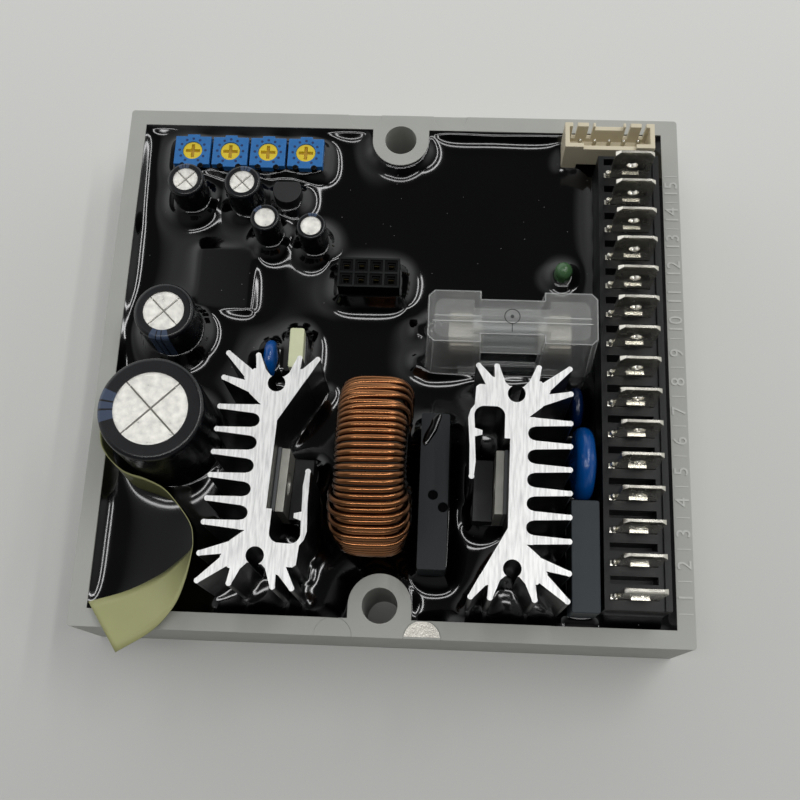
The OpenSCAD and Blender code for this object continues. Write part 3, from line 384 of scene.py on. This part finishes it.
# Terminal strip: one satin black moulding along the right wall, with a low lip outside and a
# rib between the tabs. Each tab is tinned brass with a chamfered tip and a detent hole, pressed
# in beside a round stud and with a bright shoulder at its foot.
def drop(bm, middle, size, segments, rings, turn=Matrix.Identity(4)):
    """A ball or bead added to a mesh, with its middle in metres and its half sizes in millimetres."""
    bmesh.ops.create_uvsphere(bm, u_segments=segments, v_segments=rings, radius=MM,
                              matrix=Matrix.Translation(middle) @ turn @ Matrix.Diagonal((*size, 1)))


black_moulding = finish("black moulding", rgb(21, 22, 23), 0.36, spread=0.3, uneven=0.3, scale=260, bump=0.25,
                        sockets=(("Specular IOR Level", 0.3),))
edged("terminal_strip", black_moulding, 0.12)
tinned_brass = finish("tinned brass", rgb(222, 219, 208), 0.25, 1.0, spread=0.25, uneven=0.2, scale=500,
                      bump=0.04)
edged("tab_terminals", tinned_brass, 0.06)
strip_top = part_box("terminal_strip")[1].z
tab_x, first_tab_y = 39.2, -39.5
stud_r, stud_at = 0.46, Vector((-3.5, 0, 0.35)) * MM
shoulder_size, shoulder_at = (2.8, 0.3, 0.3), Vector((0.1, -0.5, 1.0)) * MM
studs = bmesh.new()
for k in range(tab_count):
    foot = Vector((tab_x * MM, (first_tab_y + k * tab_pitch) * MM, strip_top))
    drop(studs, foot + stud_at, (stud_r, stud_r, stud_r), 16, 10)
    bar(studs, foot + shoulder_at, shoulder_size)
piece("tab_studs", studs, tinned_brass)


# Pin header: a cream nylon shroud moulded with two end legs, which stand in the resin. Five square
# tinned pins are pressed through its deck.
cream_nylon = finish("cream nylon", rgb(206, 196, 170), 0.45, spread=0.12, scale=300, bump=0.15)
edged("header_shell", cream_nylon, 0.1)
edged("header_pins", tinned_brass, 0.05)


# Socket strip: a black moulding with two rows of four square mouths over plain brass springs.
# Low ridges frame the mouths. The moulding is a darker black than the ridges, as painted shade
# in and round the mouths.
# A darker copy of the black moulding, as painted shade in the mouths.
socket_shade = finish("socket painted shade", rgb(9, 9, 10), 0.5, spread=0.3, scale=260, bump=0.25,
                    sockets=(("Specular IOR Level", 0.1),))
edged("socket_strip", socket_shade, 0.08)
lo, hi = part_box("socket_strip")
socket_columns, socket_rows = 4, 2
ridge_w, ridge_h, ridge_step = 0.34, 0.4, 0.04
ridges = bmesh.new()
for k in range(socket_columns + 1):
    x = lo.x + ridge_w / 2 * MM + k / socket_columns * (hi.x - lo.x - ridge_w * MM)
    bar(ridges, (x, (lo.y + hi.y) / 2, hi.z), (ridge_w, (hi.y - lo.y) / MM, ridge_h))
for k in range(socket_rows + 1):
    y = lo.y + ridge_w / 2 * MM + k / socket_rows * (hi.y - lo.y - ridge_w * MM)
    bar(ridges, ((lo.x + hi.x) / 2, y, hi.z), ((hi.x - lo.x) / MM, ridge_w, ridge_h - ridge_step))
piece("socket_ridges", ridges, black_moulding)
coat("socket_contacts", finish("contact metal", rgb(74, 66, 46), 0.45, 1.0))


# Trimmers: blue moulded bodies with a ring of dial marks round the recess, wetted by the resin
# at the foot, and with a near-black matt drop in each of their two notches as painted shade. A
# yellow rotor with a cross slot turns in each, and the slot's floor is painted darker ochre as
# painted shade.
def one_axis(tree, vector, letter):
    """The X, Y or Z of a vector."""
    return place(tree, "ShaderNodeSeparateXYZ", ((0, vector),)).outputs[letter]


def top_middle(lo, hi):
    """Middle of the top of a box."""
    return Vector(((lo.x + hi.x) / 2, (lo.y + hi.y) / 2, hi.z))


trimmer_blue = finish("trimmer blue", rgb(44, 106, 168), 0.36, spread=0.3, scale=700)
tree = trimmer_blue.node_tree
at = surface_point(tree)
wet_from, wet_to, wet_ragged = (resin_z + 1.4) * MM, (resin_z + 1.0) * MM, -3.0 * MM
ragged = place(tree, "ShaderNodeTexNoise", (("Vector", at), ("Scale", 700.0), ("Detail", 3.0)))
lift = reckon(tree, "MULTIPLY", ragged.outputs["Fac"], wet_ragged)
wetted = ramp(tree, reckon(tree, "ADD", one_axis(tree, at, "Z"), lift), wet_from, wet_to)
paint(trimmer_blue, blend(tree, wetted, grain_color(trimmer_blue), rgb(12, 13, 16)))
rotor_yellow = finish("rotor yellow", rgb(216, 190, 48), 0.42, spread=0.25, scale=900)
# The slot floor is painted a darker ochre than the rotor, as painted shade.
slot_shade = finish("slot painted shade", rgb(176, 140, 40), 0.6)
dial_ink = finish("dial ink", rgb(18, 46, 92), 0.5)
# Near-black matt drops in the notches are painted shade.
notch_shade = finish("notch painted shade", rgb(6, 6, 7), 0.4, sockets=(("Specular IOR Level", 0.1),))

slot_w, slot_share, slot_floor = 0.5, 0.76, 0.55
dial_r, dial_start, dial_step, dial_count = 2.3, -60, 30, 11
dot_r, dot_h = 0.25, 0.03
notch_at, notch_size = (1.65, 0.25, -0.1), (0.55, 0.55, 0.16)
for k in range(1, 5):
    body, rotor = "trimmer_body_%d" % k, "trimmer_rotor_%d" % k
    edged(body, trimmer_blue, 0.12)
    edged(rotor, rotor_yellow, 0.05, rotor)
    lo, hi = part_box(rotor)
    slot_at = top_middle(lo, hi) - Vector((0, 0, slot_floor * MM))
    # Darker ochre bars on the slot floor, as painted shade.
    cross = bmesh.new()
    for degrees, bar_h in ((0, 0.06), (90, 0.08)):
        bar(cross, slot_at, ((hi.x - lo.x) / MM * slot_share, slot_w, bar_h), about_z(degrees))
    piece("rotor_slot_%d" % k, cross, slot_shade, rotor)
    lo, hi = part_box(body)
    top = top_middle(lo, hi)
    marks = bmesh.new()
    for i in range(dial_count):
        turn = about_z(dial_start + i * dial_step)
        disc(marks, top + turn @ Vector((dial_r * MM, 0, 0)), dot_r, dot_h, 10, turn)
    piece("dial_marks_%d" % k, marks, dial_ink)
    # A near-black drop in each notch, as painted shade.
    drops = bmesh.new()
    for side in (-1, 1):
        spot = (top.x + side * notch_at[0] * MM, lo.y + notch_at[1] * MM, hi.z + notch_at[2] * MM)
        drop(drops, spot, notch_size, 20, 10)
    piece("notch_resin_%d" % k, drops, notch_shade, smooth=180)


# Electrolytic capacitors: drawn aluminium cans in shrunk black sleeves with a pale stripe down one
# side, held at the foot by the resin. The larger tops are scored with a cross, whose lines are
# painted darker as painted shade.
can_aluminium = finish("can aluminium", rgb(240, 238, 230), 0.36, 0.35, spread=0.8, uneven=0.4, scale=900,
                       bump=1.0)
# The score lines are painted darker than the can, as painted shade.
score_shade = finish("score shade", rgb(118, 116, 110), 0.5, 0.4)
seam_angle, seam_half = 0.1, 0.002
stripe, inlet, outlet = node_group(
    "stripe", (("Middle", VECTOR, (0, 0, 0)), ("Turn", FLOAT, 0.0), ("Half", FLOAT, 0.35)),
    (("Mask", FLOAT),))
away = place(stripe, "ShaderNodeVectorMath", ((0, surface_point(stripe)), (1, inlet["Middle"])),
             operation="SUBTRACT").outputs[0]
bearing = reckon(stripe, "ARCTAN2", one_axis(stripe, away, "Y"), one_axis(stripe, away, "X"))
near = reckon(stripe, "COSINE", reckon(stripe, "SUBTRACT", bearing, inlet["Turn"]))
inside = reckon(stripe, "GREATER_THAN", near, reckon(stripe, "COSINE", inlet["Half"]))
seam = reckon(stripe, "COMPARE", near, math.cos(seam_angle), seam_half)
stripe.links.new(reckon(stripe, "SUBTRACT", inside, seam, use_clamp=True), outlet["Mask"])

scored_from, score_sunk, score_share = 5.0, 0.16, 0.66
score_end_at, score_end_share, score_end_h = 0.348, 0.076, 0.04
score_least_w, score_w_share = 0.05, 0.011
for names, stripe_at in (("main_capacitor_%s", 178), ("supply_capacitor_%s", -95),
                         ("filter_capacitor_%s_1", 100), ("filter_capacitor_%s_2", 80),
                         ("timing_capacitor_%s_1", 130), ("timing_capacitor_%s_2", 85)):
    can, sleeve = names % "can", names % "sleeve"
    edged(can, can_aluminium, 0.06)
    lo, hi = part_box(can)
    top, can_d = top_middle(lo, hi), (hi.x - lo.x) / MM
    if can_d > scored_from:
        score = bmesh.new()
        score_w = score_least_w + can_d * score_w_share
        for degrees, bar_h in ((45, 0.06), (-45, 0.08)):
            turn = about_z(degrees)
            bar(score, top - Vector((0, 0, score_sunk * MM)), (can_d * score_share, score_w, bar_h), turn)
            for end in (-1, 1):
                spot = top + turn @ Vector((end * score_end_at * can_d * MM, 0, 0))
                bar(score, spot, (can_d * score_end_share, score_w, score_end_h), turn)
        piece("score_" + can, score, score_shade)
    lo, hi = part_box(sleeve)
    vinyl = finish("sleeve " + sleeve, rgb(17, 18, 21), 0.26, spread=0.3, scale=300, bump=0.1)
    band = place(vinyl.node_tree, "ShaderNodeGroup", node_tree=stripe)
    band.inputs["Middle"].default_value = ((lo.x + hi.x) / 2, (lo.y + hi.y) / 2, 0)
    band.inputs["Turn"].default_value = math.radians(stripe_at)
    paint(vinyl, blend(vinyl.node_tree, band.outputs["Mask"], grain_color(vinyl), rgb(60, 72, 92)))
    edged(sleeve, vinyl, 0.06)


# Heat sinks: black anodised extrusions sawn to length, so only their cut ends are bright. A
# spring clip formed in the profile presses the power device and its pad against the web.
level_from, stroke_scale = 0.8, (2600, 260, 1)


def sawn(name, saw_turn):
    """Bright sawn metal on level faces, black anodising on all others."""
    material = finish(name, rgb(38, 38, 40), 0.38, 0.6, spread=0.4, uneven=0.2, scale=500, bump=0.15)
    tree = material.node_tree
    shader = tree.nodes["Principled BSDF"]
    facing = place(tree, "ShaderNodeNewGeometry").outputs["Normal"]
    cut = reckon(tree, "GREATER_THAN", one_axis(tree, facing, "Z"), level_from)
    drawn = place(tree, "ShaderNodeMapping", (("Vector", surface_point(tree)), ("Rotation", (0, 0, saw_turn)),
                                              ("Scale", stroke_scale)))
    strokes = place(tree, "ShaderNodeTexNoise",
                    (("Vector", drawn.outputs[0]), ("Scale", 1.0), ("Detail", 3.0))).outputs["Fac"]
    shade = place(tree, "ShaderNodeValToRGB", ((0, strokes),))
    dark, light = shade.color_ramp.elements
    dark.position, dark.color = 0.25, rgb(196, 197, 196)
    light.position, light.color = 0.6, rgb(250, 250, 248)
    rough = place(tree, "ShaderNodeMix", ((0, cut), (2, tree.nodes["grain"].outputs["Roughness"]),
                                          (3, ramp(tree, strokes, 0.0, 1.0, 0.5, 0.3))))
    paint(material, blend(tree, cut, grain_color(material), shade.outputs[0]))
    tree.links.new(rough.outputs[0], shader.inputs["Roughness"])
    tree.links.new(ramp(tree, cut, 0.0, 1.0, 0.6, 0.3), shader.inputs["Metallic"])
    return material


black_epoxy = finish("black epoxy", rgb(28, 28, 30), 0.5, spread=0.3, scale=600, bump=0.3)
plated_copper = finish("plated copper", rgb(176, 175, 166), 0.36, 0.5, spread=0.3, scale=500)
pad_grey = finish("pad grey", rgb(92, 94, 95), 0.7, spread=0.15)
for side, saw_turn in (("left", -0.05), ("right", 0.03)):
    edged("heat_sink_" + side, sawn("anodised " + side, saw_turn), 0.1, corner=45)
    edged("power_device_" + side, black_epoxy, 0.15)
    edged("device_tab_" + side, plated_copper, 0.08)
    edged("insulating_pad_" + side, pad_grey, 0.04)


# Choke: one length of enamelled copper wound round a coated iron-powder ring. The turns lie
# side by side outside, double up in the hole, and a few at the front and back stand proud.
# Towards the sides the enamel is painted darker as painted shade.
coat("choke_core", finish("core coat", rgb(40, 38, 33), 0.6))
enamel = finish("enamelled copper", rgb(150, 101, 65), 0.24, 1.0, spread=0.4, uneven=0.2, scale=260,
                bump=0.02, sockets=(("Coat Weight", 0.15), ("Coat Roughness", 0.12)))
tree = enamel.node_tree
# The enamel is painted darker towards the sides, as painted shade.
sideways = reckon(tree, "SUBTRACT", one_axis(tree, surface_point(tree), "X"), choke_x)
side_shade = ramp(tree, reckon(tree, "ABSOLUTE", sideways), 2.2 * MM, 5.2 * MM, 1.0, 0.2)
paint(enamel, dimmed(tree, grain_color(enamel), side_shade))

turns, wire_r = 80, 0.47
steps, sides = 28, 8
ring_mid = (choke_lo + choke_hi) / 2
outer_r, hole_r, half_w = 14.2, 5.5, 5.75
second_layer, snug_gap, side_gap = 0.8, 0.35, 0.45
front_at, front_half, front_lean, front_bulge = 0.4, 0.075, 0.5, 1.2
back_at, back_half, back_lean, back_bulge, back_bulge_inside = 0.13, 0.08, 0.9, 0.9, 0.1
stray_share, squareness = 0.15, 0.55


def loose(turn):
    """How far a turn stands off the core: the second layer at the front, and a few turns at the back."""
    front = max(0.0, 1 - abs(turn / turns - front_at) / front_half)
    back = max(0.0, 1 - abs(turn / turns - back_at) / back_half)
    swing = (0.75 + 0.4 * noise.noise(Vector((int(turn) * 0.9, 5.2, 0)))) * (int(turn) % 2 == 0)
    return swing * min(1.0, 2 * front), swing * min(1.0, 2 * back)


def squarish(v):
    """A sine or cosine drawn out, so that a circle becomes a rounded square."""
    return math.copysign(abs(v) ** squareness, v)


def wire_point(turn):
    """Middle of the wire after a number of turns, in metres."""
    k, s = int(turn), turn % 1
    stray = stray_share * noise.noise(Vector((k * 0.61, 1.7, 0.2)))
    front, back = loose(turn)
    a = 2 * math.pi * s
    lean = back_lean * back * math.cos(a) + front_lean * front * abs(math.cos(a)) ** 3
    angle = 2 * math.pi * (turn + stray - lean) / turns
    r_out = outer_r - wire_r - snug_gap * (1 - min(1, front + back))
    r_in = hole_r + wire_r + (second_layer if k % 2 else 0.0)
    r = (r_out + r_in) / 2 + (r_out - r_in) / 2 * squarish(math.sin(a))
    back_side = back_bulge * back if s < 0.25 or s > 0.75 else back_bulge_inside * back
    wide = half_w - wire_r - side_gap + front_bulge * front + back_side
    return ring_mid + Vector((wide * squarish(math.cos(a)), r * math.cos(angle), r * math.sin(angle))) * MM


wire = bmesh.new()
path = [wire_point(i / steps) for i in range(turns * steps)]
spokes = [2 * math.pi * j / sides for j in range(sides)]
rings = []
for i, p in enumerate(path):
    ahead = (path[(i + 1) % len(path)] - path[i - 1]).normalized()
    one = (p - ring_mid).cross(ahead).normalized()
    two = ahead.cross(one)
    rings.append([wire.verts.new(p + (one * math.cos(a) + two * math.sin(a)) * wire_r * MM) for a in spokes])
for i in range(len(rings)):
    a, b = rings[i - 1], rings[i]
    for j in range(sides):
        wire.faces.new((a[j - 1], a[j], b[j], b[j - 1]))
piece("choke_wire", wire, enamel, nodes=("choke_winding",), smooth=180)


# Film capacitors, discs and small parts: moulded boxes, dipped bodies and a lens that stand on the
# board and are held by the resin. The tall box has two round pits, whose floors are painted near-black
# as painted shade, and a smear of resin on top, and the flat module lies under the resin's skin.
for node, slot, color, rough in (("tall_film_capacitor", "film_box", rgb(38, 41, 43), 0.5),
                                 ("side_film_capacitor", "film_box_grey", rgb(55, 60, 64), 0.5),
                                 ("small_film_capacitor", "film_box_cream", rgb(204, 208, 172), 0.45)):
    box_skin = finish(slot, color, rough, spread=0.2, scale=350, bump=0.3,
                      sockets=(("Specular IOR Level", 0.25),))
    edged(node, box_skin, 0.18)
lo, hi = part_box("tall_film_capacitor")
top = top_middle(lo, hi)
pit_r, pit_t, pit_sunk = 0.76, 0.06, 0.36
pits = bmesh.new()
for x, y in ((-0.1, -0.8), (1.5, -2.7)):
    disc(pits, top + Vector((x, y, -pit_sunk)) * MM, pit_r, pit_t, 24)
# Near-black discs on the pit floors are painted shade.
pit_shade = finish("pit shade", rgb(4, 4, 4), 0.7, sockets=(("Specular IOR Level", 0.05),))
piece("film_pits", pits, pit_shade)
smear_left, smear_front = 0.5 * MM, 2.6 * MM
smear_size, smear_turn, smear_ragged, smear_scale = (0.75, 3.0, 0.3), -24, 0.25 * MM, 700
smear = bmesh.new()
drop(smear, (top.x - smear_left, hi.y - smear_front, hi.z), smear_size, 32, 16, about_z(smear_turn))
for vert in smear.verts:
    vert.co.x += smear_ragged * noise.noise(vert.co * smear_scale)
piece("resin_smear", smear, resin, smooth=180)
blue_epoxy = finish("blue epoxy", rgb(8, 72, 138), 0.22, spread=0.25, scale=250, bump=0.25)
navy_epoxy = finish("navy epoxy", rgb(9, 28, 58), 0.25, spread=0.25, scale=250, bump=0.25)
edged("varistor", blue_epoxy, 0.2)
edged("disc_capacitor_left", blue_epoxy, 0.2)
edged("disc_capacitor_right", navy_epoxy, 0.2)
edged("small_transistor", black_epoxy, 0.12)
coat("potted_module", black_epoxy)
lamp_green = finish("lamp green", rgb(74, 108, 72), 0.25, spread=0.2, bump=0.05,
                    sockets=(("Transmission Weight", 0.2),))
edged("indicator_lamp", lamp_green, 0.05)


# Fuse holder: a black base with two sprung clips that hold a glass fuse, under a frosted cover
# that pulls straight off. The cover has a gate mark and three fine ribs, with thin pale bars along
# its edges as painted highlights, and the metal under it is painted darker towards the base as
# painted shade.
edged("fuse_base", black_moulding, 0.12)
fuse_metal = finish("fuse metal", rgb(246, 240, 226), 0.35, 0.1)
clip_metal = finish("clip metal", rgb(246, 238, 220), 0.4, 0.1)
# The clip and fuse metal is painted darker towards the base, as painted shade under the cover.
shaded_z, lit_z, shaded_share = 22.5 * MM, 27 * MM, 0.2
for metal in (clip_metal, fuse_metal):
    tree = metal.node_tree
    shade = ramp(tree, one_axis(tree, surface_point(tree), "Z"), shaded_z, lit_z, shaded_share, 1.0)
    paint(metal, dimmed(tree, grain_color(metal), shade))
coat("fuse_clips", clip_metal)
coat("fuse_end_caps", fuse_metal)
coat("fuse_wire", fuse_metal)
coat("fuse_tube", finish("fuse glass", rgb(235, 240, 240), 0.03, spread=0.05, uneven=0.02, bump=0.0,
                         sockets=(("Transmission Weight", 0.95),)))

frosted = finish("frosted cover", rgb(238, 240, 237), 0.34, spread=0.1, uneven=0.2, scale=300, bump=0.05,
                 sockets=(("Transmission Weight", 0.7), ("IOR", 1.2)))
tree = frosted.node_tree
facing = place(tree, "ShaderNodeNewGeometry").outputs["Normal"]
haze = place(tree, "ShaderNodeValToRGB", ((0, one_axis(tree, facing, "Z")),))
haze_stops = ((0.04, 0.28), (0.25, 0.5), (0.93, 0.5), (0.99, 0.36))
while len(haze.color_ramp.elements) < len(haze_stops):
    haze.color_ramp.elements.new(0.5)
for stop, (level, cloud) in zip(haze.color_ramp.elements, haze_stops):
    stop.position, stop.color = level, (cloud, cloud, cloud, 1)
tree.links.new(haze.outputs["Color"], tree.nodes["Principled BSDF"].inputs["Alpha"])
edged("fuse_cover", frosted, 0.2, "fuse_cover")

cover_top = top_middle(*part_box("fuse_cover"))
gate_at = cover_top + Vector((-0.1, 0.15, 0)) * MM
ring_r, ring_w, ring_h, ring_count = 1.2, 0.14, 0.12, 32
stem_at, stem_size, dot_size = Vector((0, -1.9, 0)) * MM, (0.15, 1.4, 0.12), (0.3, 0.3, 0.3)
gate = bmesh.new()
for k in range(ring_count):
    turn = about_z(360 * k / ring_count)
    spot = gate_at + turn @ Vector((ring_r * MM, 0, 0))
    bar(gate, spot, (ring_w, 2 * math.pi * ring_r / ring_count, ring_h), turn)
drop(gate, gate_at, dot_size, 12, 8)
bar(gate, gate_at + stem_at, stem_size)
gate_grey = finish("gate grey", rgb(70, 71, 70), 0.4, sockets=(("Alpha", 0.7),))
piece("cover_gate", gate, gate_grey, "fuse_cover")

rib_w, rib_h = 0.16, 0.1
ribs = bmesh.new()
for x0, x1, y in ((-12.6, 12.6, -0.85), (4.9, 12.4, 0.05), (-12.4, -4.9, 0.05)):
    bar(ribs, cover_top + Vector(((x0 + x1) / 2, y, 0)) * MM, (x1 - x0, rib_w, rib_h))
rib_white = finish("rib white", rgb(200, 202, 200), 0.4, sockets=(("Alpha", 0.6),))
piece("cover_ribs", ribs, rib_white, "fuse_cover")

# Thin pale bars along the cover's convex edges are painted highlights.
edge_w, edge_corner = 0.16, math.radians(32)
shape = joined_up("fuse_cover")
lines = bmesh.new()
for edge in shape.edges:
    if len(edge.link_faces) == 2 and edge.is_convex and edge.calc_face_angle() > edge_corner:
        a, b = (v.co for v in edge.verts)
        turn = (b - a).to_track_quat("X", "Z").to_matrix().to_4x4()
        bar(lines, (a + b) / 2, ((b - a).length / MM, edge_w, edge_w), turn)
shape.free()
edge_highlight = finish("edge painted highlight", rgb(200, 202, 200), 0.5, sockets=(("Alpha", 0.3),))
piece("cover_edge_highlights", lines, edge_highlight, "fuse_cover")


# Film strip: thin yellow-green film that stands in the resin beside the large capacitor and
# hangs over the front corner of the rim. It is painted darker where it stands upright, as painted
# shade.
film_yellow = finish("film yellow", rgb(164, 165, 114), 0.42, spread=0.2, uneven=0.3, scale=140, bump=0.1,
                     sockets=(("Transmission Weight", 0.12),))
tree = film_yellow.node_tree
facing = place(tree, "ShaderNodeNewGeometry").outputs["Normal"]
level = reckon(tree, "ABSOLUTE", one_axis(tree, facing, "Z"))
# The film is painted darker where it stands upright, as painted shade.
paint(film_yellow, dimmed(tree, grain_color(film_yellow), ramp(tree, level, 0.1, 0.6, 0.45, 1.0)))
lower = ((-46.1, -10.9, 16.1), (-45.85, -14.9, 16.1), (-45.0, -19.4, 16.1), (-41.4, -23.2, 16.1),
         (-37.8, -24.5, 16.1), (-35.1, -25.4, 16.1), (-33.6, -26.5, 16.1), (-31.6, -29.2, 16.1),
         (-31.0, -31.6, 16.1), (-31.2, -33.4, 16.2), (-33.3, -35.7, 16.6), (-35.7, -37.8, 17.0),
         (-40.1, -40.6, 18.4), (-45.9, -42.6, 18.9))
upper = ((-46.1, -10.5, 24.5), (-45.85, -14.5, 24.5), (-45.0, -19.0, 24.5), (-41.5, -22.5, 24.5),
         (-37.6, -23.8, 24.5), (-34.6, -25.2, 24.5), (-32.1, -27.6, 24.5), (-29.8, -30.6, 24.5),
         (-29.2, -32.8, 24.3), (-29.2, -35.0, 24.0), (-30.1, -39.5, 23.0), (-31.7, -43.4, 22.2),
         (-35.0, -47.0, 21.0), (-40.4, -50.3, 20.0))


def smooth_line(points, per_span):
    """Points along a smooth curve through the given ones."""
    dots = [Vector(p) for p in points]
    dots = [dots[0] * 2 - dots[1]] + dots + [dots[-1] * 2 - dots[-2]]
    found = []
    for i in range(1, len(dots) - 2):
        p0, p1, p2, p3 = dots[i - 1:i + 3]
        for k in range(per_span):
            t = k / per_span
            found.append(0.5 * (2 * p1 + (p2 - p0) * t + (2 * p0 - 5 * p1 + 4 * p2 - p3) * t ** 2
                                + (3 * p1 - p0 - 3 * p2 + p3) * t ** 3))
    return found + [dots[-2]]


film_t, film_spans, film_cells = 0.12, 8, 6
strip = bmesh.new()
stations = []
for low, high in zip(smooth_line(lower, film_spans), smooth_line(upper, film_spans)):
    stations.append([strip.verts.new(low.lerp(high, k / film_cells) * MM) for k in range(film_cells + 1)])
for a, b in zip(stations, stations[1:]):
    for k in range(film_cells):
        strip.faces.new((a[k], a[k + 1], b[k + 1], b[k]))
film = piece("film_strip", strip, film_yellow, nodes=("film_tape",), smooth=180)
film.modifiers.new("thickness", "SOLIDIFY").thickness = film_t * MM


# Studio: a pale table, painted darker towards the front as a painted shadow, under two pairs of
# ceiling tubes, in a world that is darker overhead and in front, so that the level resin stays
# black and its slopes catch the tubes. The camera stands where the photo was taken from.
table_half = 3.0
table = bmesh.new()
bmesh.ops.create_grid(table, x_segments=1, y_segments=1, size=table_half)
floor_mesh = bpy.data.meshes.new("table")
table.to_mesh(floor_mesh)
table.free()
floor = bpy.data.objects.new("table", floor_mesh)
scene.collection.objects.link(floor)
floor_skin = finish("table skin", rgb(222, 222, 218), 0.6, spread=0.02, scale=20, bump=0.0)
tree = floor_skin.node_tree
# The table is painted darker towards the front, as a painted shadow.
front_shadow = ramp(tree, one_axis(tree, surface_point(tree), "Y"), -0.12, 0.1, 0.64, 0.95)
paint(floor_skin, dimmed(tree, grain_color(floor_skin), front_shadow))
floor_mesh.materials.append(floor_skin)

for name, energy, long, wide, spot in (("front tube", 2.9, 1.1, 0.07, (0.05, -0.12, 1.3)),
                                       ("front tube 2", 2.5, 1.1, 0.05, (0.05, -0.36, 1.25)),
                                       ("right tube", 2.3, 0.06, 0.8, (0.47, 0.31, 1.17)),
                                       ("right tube 2", 2.1, 0.05, 0.8, (0.68, 0.33, 1.07))):
    light = bpy.data.lights.new(name, "AREA")
    light.shape = "RECTANGLE"
    light.energy, light.size, light.size_y = energy, long, wide
    lamp = bpy.data.objects.new(name, light)
    aim = -Vector(spot).normalized()
    side = aim.cross(Vector((0, 1, 0))).normalized()
    lamp.matrix_world = Matrix.Translation(spot) @ Matrix((side, side.cross(aim), -aim)).transposed().to_4x4()
    scene.collection.objects.link(lamp)

world = bpy.data.worlds.new("studio")
world.use_nodes = True
scene.world = world
tree = world.node_tree
way = place(tree, "ShaderNodeTexCoord").outputs["Generated"]
zenith = ramp(tree, one_axis(tree, way, "X"), -0.32, -0.12, 0.6, 0.1)
fade = ramp(tree, one_axis(tree, way, "Z"), 0.45, 0.8, 1.15, zenith)
behind = ramp(tree, one_axis(tree, way, "Y"), -0.5, 0.3, 0.16, 1.0)
sky = tree.nodes["Background"]
sky.inputs["Color"].default_value = (0.98, 0.99, 1.0, 1)
tree.links.new(reckon(tree, "MULTIPLY", fade, behind), sky.inputs["Strength"])

right = Vector((0.9988031808866186, 0.04069513668038854, -0.027131378537355658))
down = Vector((0.03075120513565296, -0.9538627032177504, -0.2986642040701079))
ahead = Vector((-0.038033790679838614, 0.2974724344551786, -0.9539725265990796))
eye = Vector((8.79, -61.83, 192.31)) * MM
lens = bpy.data.cameras.new("camera")
lens.lens, lens.sensor_width = 49.45, 36.0
lens.clip_start, lens.clip_end = 0.01, 20.0
camera = bpy.data.objects.new("camera", lens)
camera.matrix_world = Matrix.Translation(eye) @ Matrix((right, -down, -ahead)).transposed().to_4x4()
scene.collection.objects.link(camera)
scene.camera = camera
scene.view_settings.view_transform = "Standard"
